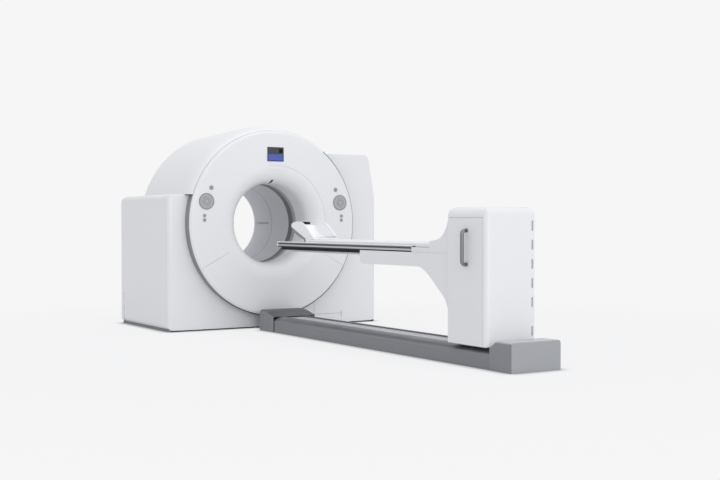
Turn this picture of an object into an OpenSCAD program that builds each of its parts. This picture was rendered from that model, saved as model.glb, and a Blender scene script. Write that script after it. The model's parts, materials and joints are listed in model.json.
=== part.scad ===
// Combined emission and X-ray tomography scanner with a cantilever patient table.
// Millimetres, +Z up. The origin lies on the floor at the centre of the gantry's four anchor holes,
// under the bore axis. The bore runs along Y, and the table stands on its -Y side.

/* [Bore] */
// Height of the bore axis above the floor
iso_z = 1020; // [1012:1:1035]
// Radius of the patient bore
bore_r = 390; // [380:1:395]
// Radius of the rounded flare at the front mouth
flare_r = 160; // [150:1:165]
// Length of the straight throat behind the flare
throat_len = 140; // [120:1:160]
// Length of the dark scan window ring
window_len = 150; // [130:1:170]
// Length of the front tunnel liner
liner_front_len = 363; // [340:1:400]
// Length of the rear tunnel liner
liner_rear_len = 397; // [380:1:430]
// Wall of the tunnel liners and the window
liner_wall = 5; // [4:0.5:6]
// Radius of the rounded rear mouth
mouth_r = 45; // [35:1:50]
// Straight lip of the rear mouth ahead of its rounding
mouth_lip = 10; // [8:1:15]

/* [Gantry covers] */
// Wall of the moulded covers
cover_wall = 8; // [6:0.5:9]
// Gap left where two covers meet face to face
seat_gap = 0.3; // [0.2:0.05:0.4]
// Width of a visible seam between covers
seam = 2; // [1:0.5:3]
// Radius of the round front cover
disc_r = 895; // [885:1:905]
// How far the front cover's rim stands ahead of the side covers
disc_proud = 95; // [80:1:110]
// Size of the rounding round the front cover's rim
disc_round = 30; // [20:1:40]
// Angle of the front cover's radial seams below the horizontal
seam_angle = 29; // [24:1:34]
// Height of the drum cover over the rim of the front cover
drum_over = 58; // [50:1:65]
// Taper of the drum cover towards its rear rim
drum_taper = 27; // [18:1:38]
// Length of the drum's rounded front shoulder
shoulder_len = 256; // [200:1:280]
// Distance from the anchor centre forward to the side covers' front
side_front = 525; // [515:1:535]
// Distance from the anchor centre back to the side covers' rear
side_rear = 712; // [690:1:730]
// Distance from the anchor centre back to the drum's rear rim
drum_rear = 510; // [490:1:530]
// Half width of the gantry on the left
left_w = 1065; // [1040:1:1090]
// Half width of the gantry on the right
right_w = 1243; // [1220:1:1260]
// Height of the low left cover
left_h = 1290; // [1260:1:1320]
// Height of the tall right cover
right_h = 1725; // [1700:1:1745]
// How far the right cover's side leans in towards its top
right_lean = 100; // [80:1:110]
// Height at which the right cover's side starts to lean in
lean_z = 1190; // [1150:1:1230]
// Height of the side covers' lower edge
cover_foot = 12; // [12:1:20]
// Slope of the shallow facet on each front, in degrees
facet_slope = 3; // [1:0.5:4]
// Width of the plinth panel from the middle
panel_w = 502; // [480:1:520]
// Width of the plinth panel's low tongue
tongue_w = 820; // [760:1:860]
// Height of the low tongue
tongue_h = 102; // [90:1:115]
// Height and width of the display frame
display_h = 138; // [120:1:150]
display_w = 178; // [160:1:200]
// Height of the display's middle above the bore axis
display_up = 668; // [655:1:680]
// Distance of a keypad's middle from the centre plane
keypad_x = 730; // [715:1:740]
// Height of a keypad's middle above the bore axis
keypad_up = 205; // [195:1:215]
// Diameter of a keypad
keypad_d = 156; // [140:1:165]
// Travel of a push button
button_travel = 2; // [1.5:0.1:2.5]

/* [Rotor and detectors] */
// Space between the rotor drum and the outside of the drum cover
rotor_inset = 103; // [98:1:130]
// Inner radius of the rotor drum
rotor_hub_r = 430; // [420:1:440]
// Thickness of the rotor's plate
rotor_plate_t = 25; // [20:1:30]
// Radius of the main bearing
bearing_r = 560; // [540:1:580]
// Running clearance of bearings, screws and nuts
run_gap = 0.05; // [0.03:0.01:0.08]
// Thickness of the stator plate
stator_t = 40; // [30:1:50]
// Outer radius of the stator plate
stator_r = 800; // [780:1:820]
// Number of emission detector modules round the ring
pet_modules = 24; // [16:1:32]
// Distance between the anchor holes across the gantry
anchor_dx = 1760; // [1700:1:1800]
// Distance between the anchor holes along the bore
anchor_dy = 700; // [660:1:740]
// Radius of an anchor hole
anchor_hole_r = 11; // [9:0.5:13]

/* [Floor rail] */
// Half width of the rail covers
rail_w = 216; // [210:1:225]
// Height of the rail's lips
rail_h = 142; // [138:1:148]
// Height of the rail covers' straight sides
rail_side_h = 97; // [85:1:105]
// Half width of the recessed top cover with its slots
channel_w = 105; // [100:1:110]
// Depth of the top cover below the lips
channel_depth = 10; // [8:1:12]
// Thickness of the top cover
top_cover_t = 10; // [8:1:12]
// Width of each slot beside the top cover
slot_w = 9; // [8:0.5:10]
// Length of the rail between the block and the end cap
rail_len = 3196; // [3185:1:3300]
// Length of the grey block at the gantry
block_len = 273; // [260:1:290]
// Gap between the gantry front and the grey block
block_gap = 100; // [80:1:110]
// Height of the grey block
block_h = 195; // [180:1:205]
// Length of the raised end cap
cap_len = 239; // [225:1:250]
// Height of the raised end cap
cap_h = 210; // [200:1:220]
// Radius of the travel and lift screws
screw_r = 12; // [10:0.5:14]

/* [Column and arm] */
// Half width of the column
column_w = 231; // [225:1:240]
// Depth of the column along the rail
column_d = 445; // [435:1:450]
// Height of the column's top
column_top = 1137; // [1130:1:1160]
// Height of the column covers' lower edge
column_foot = 155; // [153:1:160]
// Wall of the column covers
panel_wall = 6; // [5:0.5:7]
// Gap between the end cap and the column at rest
rest_gap = 24; // [20:1:40]
// Height of the seam under the column's cap
cap_seam_z = 1063; // [1055:1:1070]
// Range of the column's travel towards the gantry
column_travel = 1950; // [1800:10:1950]
// Range of the arm's travel downwards
lift_travel = 165; // [100:5:168]
// Half width of the arm
arm_w = 212; // [208:1:218]
// Height of the arm's lower face
arm_bottom = 692; // [685:1:700]
// Height of the arm's deck under the pallet
arm_deck = 800; // [796:1:806]
// Length of the arm ahead of the column
arm_len = 1231; // [1200:1:1260]
// Height of the pallet's flat top
pallet_top = 838; // [834:1:842]
// Width of each side rail of the pallet
side_rail_w = 24; // [20:1:28]
// Depth of the pallet's rounded belly below the arm's deck
belly_depth = 48; // [40:1:55]
// Length of the pallet ahead of the arm's nose
pallet_reach = 1471; // [1440:1:1480]
// Length of the pallet that lies on the arm
pallet_seat = 740; // [700:1:760]
// Length of the white tip ahead of the side rails
tip_len = 45; // [40:1:60]
// Thickness of the mattress
mattress_t = 38; // [30:1:45]
// Height of the head holder's wings above the pallet
head_h = 197; // [180:1:210]
// Half width of the head holder
head_w = 128; // [120:1:135]

/* [Hidden] */
round_fn = 144;
small_fn = 48;
overcut = 1;

white = [0.90, 0.90, 0.91];
light_grey = [0.72, 0.73, 0.74];
mid_grey = [0.50, 0.51, 0.53];
dark_grey = [0.25, 0.26, 0.28];
black = [0.05, 0.05, 0.06];
steel = [0.60, 0.62, 0.64];

// Stations along the bore, from the front to the rear
front_y = -side_front;
rim_y = front_y - disc_proud;
face_y = rim_y - disc_round;
flare_y = face_y + flare_r;
throat_y = flare_y + throat_len;
window_y = throat_y + window_len;
liner_seam_y = window_y + liner_front_len;
liner_end_y = liner_seam_y + liner_rear_len;
rear_y = liner_end_y + mouth_r;

// Radii round the bore
flare_c = bore_r + flare_r;
joint_r = flare_c + 12;
lap_w = 10;
lap_t = 5;
drum_r = disc_r + drum_over;
drum_rear_r = drum_r - drum_taper;
rotor_r = drum_r - rotor_inset;
trim_r = disc_r - 2;
trim_w = 25;
trim_hole_r = trim_r + seat_gap;
seam_deg = seam / disc_r * 180 / PI;
reveal_start = drum_rear - 5;

// Side covers
front_corner_r = 45;
rear_corner_r = 25;
left_top_r = 48;
right_top_r = 75;
foot_corner_r = 58;
rear_top_r = 120;
facet_z = 863;
facet_run = 280;
facet_drop = 759;
vent_h = 70;
vent_w = 12;
left_vents = [69, 160, 278];
vent_from_rear = 85;

// Rotor group
drum_depth = 230;
bearing_front_y = window_y + rotor_plate_t + 25;
stator_y = bearing_front_y + 90;
stator_back_y = stator_y + stator_t;
stator_hole_r = 470;
bearing_wall = 140;
spigot_r = bearing_r - 60;
pet_r = rotor_hub_r + 130;
base_z = 30;
base_t = 30;
base_top = base_z + base_t;
frame_w = 950;
frame_front_y = -420;
frame_back_y = 560;
lug_w = 150;
gusset_x = 690;
gusset_t = 20;

// Controls on the front cover
key_r = 18;
key_gap = 0.4;
pad_t = 4;
button_x = keypad_x + 20;
button_ups = [71, 30];
button_r = 17;
button_proud = 4;
speaker_x = keypad_x - 50;
speaker_up = keypad_up + 128;
speaker_r = 22;
slit_up = 515;
slit_w = 58;
laser_w = 11;
laser_front_y = flare_y - 98;
laser_back_y = flare_y - 4;
liner_slot = [liner_seam_y + 77, liner_seam_y + 287, 10];

// Floor rail
block_y1 = face_y - block_gap;
block_y0 = block_y1 - block_len;
rail_y0 = block_y0 - rail_len;
cap_y0 = rail_y0 - cap_len;
block_w = rail_w + 8;
cap_w = rail_w + 6;
rail_wall = 5;
shell_wall = 6;
plate_t = 10;
bed_w = rail_w - rail_wall - seat_gap;
tongue_x = 150;
tongue_t = 10;
spine_w = 45;
top_cover_z = rail_h - channel_depth - top_cover_t;
guide_x = 140;
guide_w = 28;
guide_h = 28;
travel_screw_x = 72;
travel_screw_z = 75;
bracket_t = 20;

// Column
col_y0 = rail_y0 + rest_gap;
col_y1 = col_y0 + column_d;
col_y = (col_y0 + col_y1) / 2;
col_corner_r = 40;
cap_edge_r = 65;
side_seam_y = col_y0 + 42;
leg_t = 6;
leg_x = channel_w - slot_w / 2 - leg_t / 2;
deck_z = rail_h + 4;
deck_t = 14;
deck_top = deck_z + deck_t;
deck_w = 200;
deck_inset = 30;
shoe_len = 80;
post_in = 120;
post_out = 185;
mast_y0 = col_y - 115;
mast_y1 = col_y + 85;
mast_foot_t = 15;
beam_z = column_top - 97;
beam_t = 20;
lift_y = col_y - 35;
vent_top_z = 1005;
vent_pitch = 137;
low_vent_z = 249;
grip_r = 14;
grip_bend = 25;
grip_off = 42;
grip_low = 728;
grip_high = 970;

// Arm, pallet and head holder
nose_y = col_y1 + arm_len;
tip_y = nose_y + pallet_reach;
pallet_y0 = nose_y - pallet_seat;
arm_back_y = col_y1 + 2;
carrier_z0 = arm_deck - 100;
carrier_z1 = arm_deck + 220;
neck_w = 50;
neck_z0 = carrier_z0 + 20;
neck_z1 = carrier_z1 - 10;
beam_w = arm_w - 62;
beam_low = arm_bottom + 13;
beam_high = arm_deck - belly_depth - 7;
root_z0 = carrier_z0 - 100;
root_z1 = carrier_z1 + 30;
root_t = 28;
flare_top_z = column_top - 19;
flare_low_z = 330;
mat_y0 = col_y1 + 266;
mat_y1 = tip_y - 533;
pallet_w = arm_w - side_rail_w;
mat_w = pallet_w - 4;
lip_t = 8;
lip_z = pallet_top + 6;
groove_h = 12;
lip_web = 3;
belly_w = pallet_w - 38;
belly_r = (belly_w * belly_w + belly_depth * belly_depth) / (2 * belly_depth);
tip_r = 40;
runner_h = 24;
rail_tip_y = tip_y - tip_len;
holder_y = tip_y - 150;
holder_wall = 12;

// Points on a curve pulled from a to c towards b
function bend(a, b, c, n = 8) =
    [for (i = [0 : n]) let (t = i / n) (1 - t) * (1 - t) * a + 2 * t * (1 - t) * b + t * t * c];

module box(x0, y0, z0, x1, y1, z1) {
    translate([x0, y0, z0]) cube([x1 - x0, y1 - y0, z1 - z0]);
}

module rect(x0, y0, x1, y1) {
    translate([x0, y0]) square([x1 - x0, y1 - y0]);
}

// Extrusions: an X-Z outline along Y, a Y-Z outline along X, an X-Y outline along Z
module slab_y(y0, y1) {
    translate([0, y1, 0]) rotate([90, 0, 0]) linear_extrude(height = y1 - y0) children();
}

module slab_x(x0, x1) {
    translate([x0, 0, 0]) rotate([90, 0, 90]) linear_extrude(height = x1 - x0) children();
}

module slab_z(z0, z1) {
    translate([0, 0, z0]) linear_extrude(height = z1 - z0) children();
}

// A cylinder along Y
module rod_y(x, z, r, y0, y1, fn = small_fn) {
    translate([x, y1, z]) rotate([90, 0, 0]) cylinder(r = r, h = y1 - y0, $fn = fn);
}

module bore_rod(r, y0, y1) {
    rod_y(0, iso_z, r, y0, y1, round_fn);
}

// A radius-Y profile turned round the bore axis, from angle a0 to a1, counted from +X towards +Z
module bore_ring(a0 = 0, a1 = 360) {
    translate([0, 0, iso_z]) rotate([-90, 0, 0]) rotate([0, 0, -a1])
        rotate_extrude(angle = a1 - a0, $fn = round_fn) children();
}

// What is left over when the corner at (x, y) is rounded, with the part lying towards (sx, sy)
module corner_bite(x, y, sx, sy, r) {
    if (r > 0) difference() {
        translate([sx > 0 ? x - overcut : x - r, sy > 0 ? y - overcut : y - r])
            square(r + overcut);
        translate([x + sx * r, y + sy * r]) circle(r = r, $fn = small_fn);
    }
}

// Rectangle with its own radius at each corner: low-low, high-low, high-high, low-high
module round_rect(x0, y0, x1, y1, r) {
    difference() {
        rect(x0, y0, x1, y1);
        corner_bite(x0, y0, 1, 1, r[0]);
        corner_bite(x1, y0, -1, 1, r[1]);
        corner_bite(x1, y1, -1, -1, r[2]);
        corner_bite(x0, y1, 1, -1, r[3]);
    }
}

// A quarter of a round wall in the radius-Y plane, centred at (r, y)
module quarter_wall(r, y, size, wall, sr, sy) {
    intersection() {
        translate([r, y]) difference() {
            circle(r = size, $fn = small_fn);
            circle(r = size - wall, $fn = small_fn);
        }
        translate([sr > 0 ? r : r - size, sy > 0 ? y : y - size]) square(size);
    }
}

// Steel base with anchor lugs, gussets for the stator plate and brackets for the side covers
module gantry_frame() {
    color(steel) difference() {
        union() {
            box(-frame_w, frame_front_y, base_z, frame_w, frame_back_y, base_top);
            for (x = [-1, 1], y = [-1, 1])
                translate([x * anchor_dx / 2 - lug_w / 2, y * anchor_dy / 2 - lug_w / 2, 0])
                    cube([lug_w, lug_w, base_z]);
            for (x = [-gusset_x - gusset_t, gusset_x])
                slab_x(x, x + gusset_t)
                    polygon([[stator_back_y, base_top], [stator_back_y + 430, base_top],
                             [stator_back_y + 60, iso_z - 200], [stator_back_y, iso_z - 200]]);
            box(-left_w + cover_wall + seat_gap, stator_back_y, 300, -gusset_x, stator_back_y + 40, 330);
            box(gusset_x, stator_back_y, 300, right_w - cover_wall - seat_gap, stator_back_y + 40, 330);
        }
        for (x = [-1, 1], y = [-1, 1])
            translate([x * anchor_dx / 2, y * anchor_dy / 2, -overcut])
                cylinder(r = anchor_hole_r, h = base_top + 2 * overcut, $fn = small_fn);
    }
}

module levelling_feet() {
    color(dark_grey)
        for (x = [-450, 450], y = [-anchor_dy / 2, anchor_dy / 2])
            translate([x, y, 0]) {
                cylinder(r = 45, h = 12, $fn = small_fn);
                cylinder(r = 14, h = base_z, $fn = small_fn);
            }
}

// Upright plate that carries the rotor's bearing and the emission detectors
module stator_plate() {
    color(steel) {
        difference() {
            slab_y(stator_y, stator_back_y) union() {
                translate([0, iso_z]) circle(r = stator_r, $fn = round_fn);
                polygon([[-stator_r, base_top], [stator_r, base_top],
                         [stator_r - 40, iso_z], [-stator_r + 40, iso_z]]);
            }
            bore_rod(stator_hole_r, stator_y - overcut, stator_back_y + overcut);
        }
        bore_ring() rect(bearing_r, bearing_front_y, bearing_r + bearing_wall, stator_y + overcut);
    }
}

module ring_motor() {
    motor_r = bearing_r + bearing_wall + 6;
    color([0.55, 0.35, 0.20]) difference() {
        bore_ring() rect(motor_r, bearing_front_y, motor_r + 44, stator_y);
        for (a = [0 : 15 : 345])
            translate([0, 0, iso_z]) rotate([0, a, 0])
                box(motor_r + 30, bearing_front_y - overcut, -12, motor_r + 60, stator_y - 20, 12);
    }
}

module pet_detector_ring() {
    step = 360 / pet_modules;
    module_w = 2 * rotor_hub_r * tan(step / 2) - 12;
    color([0.35, 0.42, 0.48]) {
        bore_ring() rect(rotor_hub_r + 40, stator_back_y, pet_r, stator_back_y + 20);
        bore_ring() rect(rotor_hub_r + 10, stator_back_y + 330, pet_r, stator_back_y + 345);
        for (i = [0 : pet_modules - 1])
            translate([0, 0, iso_z]) rotate([0, i * step, 0])
                box(rotor_hub_r, stator_back_y + 19, -module_w / 2,
                    pet_r - 20, stator_back_y + 331, module_w / 2);
    }
}

// Turning drum: plate, rim, hub and the spigot that runs in the bearing seat
module rotor_drum() {
    color(steel) bore_ring() union() {
        rect(rotor_hub_r, window_y, rotor_r, window_y + rotor_plate_t);
        rect(rotor_r - 12, window_y - drum_depth, rotor_r, window_y + overcut);
        rect(rotor_hub_r, window_y - drum_depth, rotor_hub_r + 10, window_y + overcut);
        rect(spigot_r, window_y, bearing_r - run_gap, stator_y - 5);
    }
}

module xray_tube() {
    color([0.62, 0.60, 0.52]) {
        rod_y(0, iso_z + rotor_r - 150, 115, window_y - drum_depth + 5, window_y);
        box(-85, window_y - 200, iso_z + rotor_hub_r + 40, 85, window_y, iso_z + rotor_r - 200);
    }
}

// Curved detector with a row of heat-sink fins
module ct_detector() {
    color([0.30, 0.34, 0.38]) {
        bore_ring(245, 295) rect(rotor_r - 210, window_y - 200, rotor_r - 130, window_y);
        for (a = [247 : 4 : 293])
            translate([0, 0, iso_z]) rotate([0, -a, 0])
                box(rotor_r - 135, window_y - 180, -6, rotor_r - 60, window_y, 6);
    }
}

module hv_generator() {
    color([0.45, 0.47, 0.50])
        for (x = [-rotor_r + 60, rotor_r - 290])
            box(x, window_y - 200, iso_z - 140, x + 230, window_y, iso_z + 140);
}

module slip_ring() {
    color([0.70, 0.55, 0.25])
        bore_ring() rect(spigot_r - 45, window_y + rotor_plate_t, spigot_r - 10,
                         window_y + rotor_plate_t + 45);
}

// Dark ring between the proud front cover and the side covers
module trim_ring() {
    color(dark_grey) bore_ring() rect(trim_r - trim_w, rim_y, trim_r, front_y + trim_w);
}

// Arch over the gantry: a rounded front shoulder, then a slight taper to the rear rim
module drum_cover() {
    shoulder = bend([trim_hole_r + cover_wall, rim_y + 4], [drum_r - 6, rim_y + 40],
                    [drum_r, rim_y + shoulder_len]);
    outer = concat(shoulder, [[drum_rear_r, drum_rear]]);
    inner = [for (i = [len(outer) - 1 : -1 : 0]) outer[i] - [cover_wall, 0]];
    color(white) difference() {
        bore_ring() polygon(concat(outer, inner));
        box(-drum_r - overcut, rim_y, 0, 0, drum_rear + overcut, left_h + seat_gap);
        box(-overcut, rim_y, 0, drum_r + overcut, drum_rear + overcut, right_h + seat_gap);
    }
}

module front_profile() {
    rect(joint_r + seam, face_y, disc_r - disc_round, face_y + cover_wall);
    quarter_wall(disc_r - disc_round, rim_y, disc_round, cover_wall, 1, -1);
}

module control_holes() {
    for (s = [-1, 1], up = button_ups)
        rod_y(s * button_x, iso_z + up, button_r + key_gap, face_y - overcut,
              face_y + cover_wall + overcut);
}

module front_cover_upper() {
    color(white) difference() {
        bore_ring(-seam_angle, 180 + seam_angle) front_profile();
        control_holes();
    }
}

module front_cover_lower() {
    color(white)
        bore_ring(180 + seam_angle + seam_deg, 360 - seam_angle - seam_deg) front_profile();
}

// One laser slot's outline on the flare, at an angle round the bore
module laser_slot(angle, gap) {
    translate([0, 0, iso_z]) rotate([0, -angle, 0])
        box(bore_r - 20, laser_front_y + gap, -laser_w + gap, flare_c, laser_back_y - gap, laser_w - gap);
}

// Bell mouth of the bore with its straight throat and the flange that laps behind the front cover
module front_flare() {
    color(white) difference() {
        bore_ring() union() {
            quarter_wall(flare_c, flare_y, flare_r, cover_wall, -1, -1);
            rect(flare_c, face_y, joint_r, face_y + cover_wall);
            rect(flare_c, face_y + cover_wall, joint_r + lap_w, face_y + cover_wall + lap_t);
            rect(bore_r, flare_y, bore_r + cover_wall, throat_y);
        }
        for (a = [0, 90, 180]) laser_slot(a, 0);
        box(-slit_w, face_y - overcut, iso_z + slit_up - 4, slit_w, face_y + 7, iso_z + slit_up + 4);
    }
}

module laser_windows() {
    color(black) intersection() {
        bore_ring() quarter_wall(flare_c, flare_y, flare_r - 0.5, cover_wall - 0.5, -1, -1);
        union() for (a = [0, 90, 180]) laser_slot(a, seat_gap);
    }
}

// Rounded half housing on the +X side, drawn smaller by inset for its inside
module side_block(w, h, lean, corner, inset) {
    x0 = inset > 0 ? -60 : seat_gap / 2;
    z0 = inset > 0 ? -60 : cover_foot;
    tilt = atan2(facet_run, facet_drop);
    top_r = corner - inset;
    line_x = w - inset - lean * (h - corner - lean_z) / (h - lean_z);
    difference() {
        intersection() {
            slab_z(z0, h - inset)
                round_rect(x0, front_y + inset, w - inset, side_rear - inset,
                           [0, front_corner_r - inset, rear_corner_r - inset, 0]);
            slab_y(front_y - overcut, side_rear + overcut) {
                polygon([[x0, z0], [w - inset, z0], [w - inset, lean > 0 ? lean_z : h - corner],
                         [line_x, h - corner], [x0, h - corner]]);
                rect(x0, z0, line_x - top_r, h - inset);
                translate([line_x - top_r, h - inset - top_r]) circle(r = top_r, $fn = small_fn);
            }
            slab_y(front_y - overcut, side_rear + overcut)
                round_rect(x0, z0, w + overcut, h + overcut, [0, 0, 0, 0]);
            slab_x(x0, w + overcut)
                round_rect(front_y + inset, z0, side_rear - inset, h - inset,
                           [0, inset > 0 ? 0 : 40, rear_top_r - inset, 10]);
        }
        slab_y(front_y - overcut, side_rear + overcut)
            corner_bite(w - inset, cover_foot, -1, 1, foot_corner_r - inset);
        translate([w, front_y + inset, facet_z]) rotate([0, tilt, 0]) rotate([0, 0, facet_slope])
            translate([0, -100, -1500]) cube([900, 100, 1800]);
    }
}

// Hollow side cover with the round openings for the trim ring and the rear cover
module side_shell(w, h, lean, corner) {
    difference() {
        side_block(w, h, lean, corner, 0);
        side_block(w, h, lean, corner, cover_wall);
        bore_rod(trim_hole_r, front_y - 60, reveal_start + overcut);
        bore_rod(drum_rear_r, reveal_start, side_rear + 60);
    }
    intersection() {
        bore_ring() rect(drum_rear_r, reveal_start, drum_rear_r + cover_wall, side_rear - cover_wall / 2);
        side_block(w, h, lean, corner, 0);
    }
}

module left_side_cover() {
    color(white) difference() {
        mirror([1, 0, 0]) side_shell(left_w, left_h, 0, left_top_r);
        for (z = left_vents)
            box(-left_w - overcut, side_rear - vent_from_rear - vent_w, z - vent_h / 2,
                -left_w + rear_corner_r / 2, side_rear - vent_from_rear, z + vent_h / 2);
    }
}

// Front outline of the plinth panel, grown by g for the seam round it
module panel_outline(g) {
    rect(seat_gap / 2 - g, cover_foot - g, panel_w + g, iso_z - disc_r + 260);
    rect(0, cover_foot - g, tongue_w + g, tongue_h + g);
}

module right_side_cover() {
    color(white) difference() {
        side_shell(right_w, right_h, right_lean, right_top_r);
        slab_y(front_y - overcut, front_y + cover_wall) panel_outline(seam);
    }
}

module plinth_panel() {
    color(white) difference() {
        union() {
            slab_y(front_y, front_y + cover_wall) panel_outline(0);
            slab_y(front_y + cover_wall, front_y + cover_wall + lap_t) intersection() {
                panel_outline(seam + lap_w);
                rect(60, cover_foot + lap_w, right_w, iso_z);
            }
        }
        bore_rod(trim_hole_r, front_y - overcut, front_y + 2 * cover_wall);
    }
}

module rear_cover() {
    rim = drum_rear_r - seat_gap;
    start = drum_rear + seat_gap;
    color(white) bore_ring() union() {
        rect(bore_r, liner_end_y - mouth_lip, bore_r + cover_wall, liner_end_y);
        quarter_wall(bore_r + mouth_r, liner_end_y, mouth_r, cover_wall, -1, 1);
        polygon([[bore_r + mouth_r, rear_y], [rim - 40, start + 35], [rim, start],
                 [rim - cover_wall, start], [rim - 44, start + 27],
                 [bore_r + mouth_r, rear_y - cover_wall]]);
    }
}

module scan_window() {
    color(dark_grey) bore_ring() rect(bore_r, throat_y, bore_r + liner_wall, window_y);
}

module front_liner() {
    color(light_grey) bore_ring() rect(bore_r, window_y, bore_r + liner_wall, liner_seam_y);
}

module rear_liner() {
    color(light_grey) difference() {
        bore_ring() rect(bore_r, liner_seam_y, bore_r + liner_wall, liner_end_y - mouth_lip);
        for (s = [-1, 1])
            translate([s * bore_r, (liner_slot[0] + liner_slot[1]) / 2, iso_z])
                cube([liner_wall, liner_slot[1] - liner_slot[0], 2 * liner_slot[2]], center = true);
    }
}

module display_frame() {
    z = iso_z + display_up;
    color(black) difference() {
        box(-display_w / 2, face_y - 4, z - display_h / 2, display_w / 2, face_y, z + display_h / 2);
        box(-display_w / 2 + 8, face_y - 5, z - display_h / 2 + 8,
            display_w / 2 - 8, face_y - 1.5, z + display_h / 2 - 8);
    }
}

module display_screen() {
    z = iso_z + display_up;
    edge = 8 + seat_gap;
    color([0.20, 0.28, 0.55])
        box(-display_w / 2 + edge, face_y - 3, z - display_h / 2 + edge,
            display_w / 2 - edge, face_y - 1.5, z + display_h / 2 - edge);
}

// Round keypad with five raised keys round the hole of its middle key
module keypad(x) {
    z = iso_z + keypad_up;
    color(light_grey) difference() {
        union() {
            rod_y(x, z, keypad_d / 2, face_y - pad_t, face_y);
            for (i = [0 : 4])
                translate([x, face_y - pad_t, z]) rotate([90, 18 + 72 * i, 0])
                    rotate_extrude(angle = 56, $fn = 96)
                        rect(key_r + 12, -overcut, keypad_d / 2 - 12, 1.5);
        }
        rod_y(x, z, key_r + key_gap, face_y - pad_t - 3, face_y + overcut);
    }
}

module key(x) {
    color(mid_grey)
        rod_y(x, iso_z + keypad_up, key_r, face_y - pad_t - 3, face_y - button_travel - 0.5);
}

module push_button(x, up) {
    color(mid_grey)
        rod_y(x, iso_z + up, button_r, face_y - button_proud, face_y + cover_wall - button_travel - 1);
}

module speaker_inserts() {
    color(mid_grey)
        for (s = [-1, 1]) difference() {
            rod_y(s * speaker_x, iso_z + speaker_up, speaker_r, face_y - 1.5, face_y);
            for (a = [0 : 60 : 300])
                rod_y(s * speaker_x + 11 * cos(a), iso_z + speaker_up + 11 * sin(a), 2.5,
                      face_y - 2, face_y - 0.5, 16);
        }
}

// Bed of the floor rail: plate, spine, screw brackets and the tongue under the gantry
module rail_frame() {
    color(steel) difference() {
        union() {
            box(-bed_w, cap_y0 + shell_wall + seat_gap, 0, bed_w, block_y0, plate_t);
            box(-block_w + shell_wall + seat_gap, block_y0, 0,
                block_w - shell_wall - seat_gap, block_y1 - shell_wall - seat_gap, plate_t);
            box(-tongue_x, block_y0, 0, tongue_x, frame_front_y + 120, tongue_t);
            box(-tongue_x, frame_front_y + 20, 0, tongue_x, frame_front_y + 120, base_z);
            box(-spine_w, rail_y0, 0, spine_w, block_y0, top_cover_z);
            for (y = [rail_y0, block_y0 - bracket_t])
                box(0, y, 0, travel_screw_x + 26, y + bracket_t, travel_screw_z + 30);
        }
        rod_y(travel_screw_x, travel_screw_z, screw_r + run_gap, rail_y0 - overcut, block_y0 + overcut);
    }
}

module guide_rails() {
    color(steel)
        for (s = [-1, 1])
            translate([s * guide_x - guide_w / 2, rail_y0 + bracket_t + 2, plate_t])
                cube([guide_w, rail_len - 2 * bracket_t - 4, guide_h]);
}

module rail_top_cover() {
    w = channel_w - slot_w;
    color(light_grey) box(-w, rail_y0, top_cover_z, w, block_y0, top_cover_z + top_cover_t);
}

// Crowned side cover on the +X side: straight side, rounded shoulder, lip beside the slot
module rail_cover() {
    a = rail_w - channel_w;
    b = rail_h - rail_side_h;
    steps = 8;
    outer = [for (i = [0 : steps]) let (t = 90 * i / steps)
        [channel_w + a * cos(t), rail_side_h + b * sin(t)]];
    inner = [for (i = [steps : -1 : 0]) let (t = 90 * i / steps)
        [channel_w + (a - rail_wall) * cos(t), rail_side_h + (b - rail_wall) * sin(t)]];
    slab_y(rail_y0, block_y0 - seam) {
        polygon(concat([[rail_w, 0]], outer, inner, [[rail_w - rail_wall, 0]]));
        rect(channel_w, rail_h - 14, channel_w + 3, rail_h - 1);
    }
}

module rail_left_cover() {
    color(mid_grey) mirror([1, 0, 0]) rail_cover();
}

module rail_right_cover() {
    color(mid_grey) rail_cover();
}

// Cross outline of the block and the end cap, with rounded upper edges
module housing_outline(w, h, r, inset) {
    round_rect(-w + inset, inset > 0 ? -overcut : 0, w - inset, h - inset,
               [0, 0, max(r - inset, 1), max(r - inset, 1)]);
}

// Grey block between the gantry and the rail, sloping down to the rail
module gantry_block() {
    flat = 70;
    color(mid_grey) difference() {
        intersection() {
            slab_y(block_y0, block_y1) housing_outline(block_w, block_h, 30, 0);
            slab_x(-block_w, block_w)
                polygon([[block_y0, 0], [block_y0, rail_h + 4], [block_y1 - flat, block_h],
                         [block_y1, block_h], [block_y1, 0]]);
        }
        intersection() {
            slab_y(block_y0 - overcut, block_y1 - shell_wall)
                housing_outline(block_w, block_h, 30, shell_wall);
            slab_x(-block_w, block_w)
                polygon([[block_y0 - overcut, -overcut], [block_y0 - overcut, rail_h + 4 - shell_wall],
                         [block_y1 - flat, block_h - shell_wall],
                         [block_y1, block_h - shell_wall], [block_y1, -overcut]]);
        }
        box(-tongue_x - seam, block_y1 - 2 * shell_wall, -overcut,
            tongue_x + seam, block_y1 + overcut, tongue_t + seam);
    }
}

// Raised end cap with its ramp towards the column
module rail_end_cap() {
    color(mid_grey) difference() {
        intersection() {
            slab_y(cap_y0, rail_y0) housing_outline(cap_w, cap_h, 25, 0);
            slab_x(-cap_w, cap_w)
                polygon([[rail_y0, 0], [rail_y0, rail_h + 8], [rail_y0 - 65, cap_h - 12],
                         [rail_y0 - 85, cap_h], [cap_y0 + 6, cap_h], [cap_y0, cap_h - 6], [cap_y0, 0]]);
        }
        intersection() {
            slab_y(cap_y0 + shell_wall, rail_y0 + overcut) housing_outline(cap_w, cap_h, 25, shell_wall);
            slab_x(-cap_w, cap_w)
                polygon([[rail_y0 + overcut, -overcut], [rail_y0 + overcut, rail_h - 2],
                         [rail_y0 - shell_wall, rail_h + 2], [rail_y0 - 68, cap_h - 12 - shell_wall],
                         [rail_y0 - 88, cap_h - shell_wall], [cap_y0, cap_h - shell_wall],
                         [cap_y0, -overcut]]);
        }
    }
}

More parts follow.
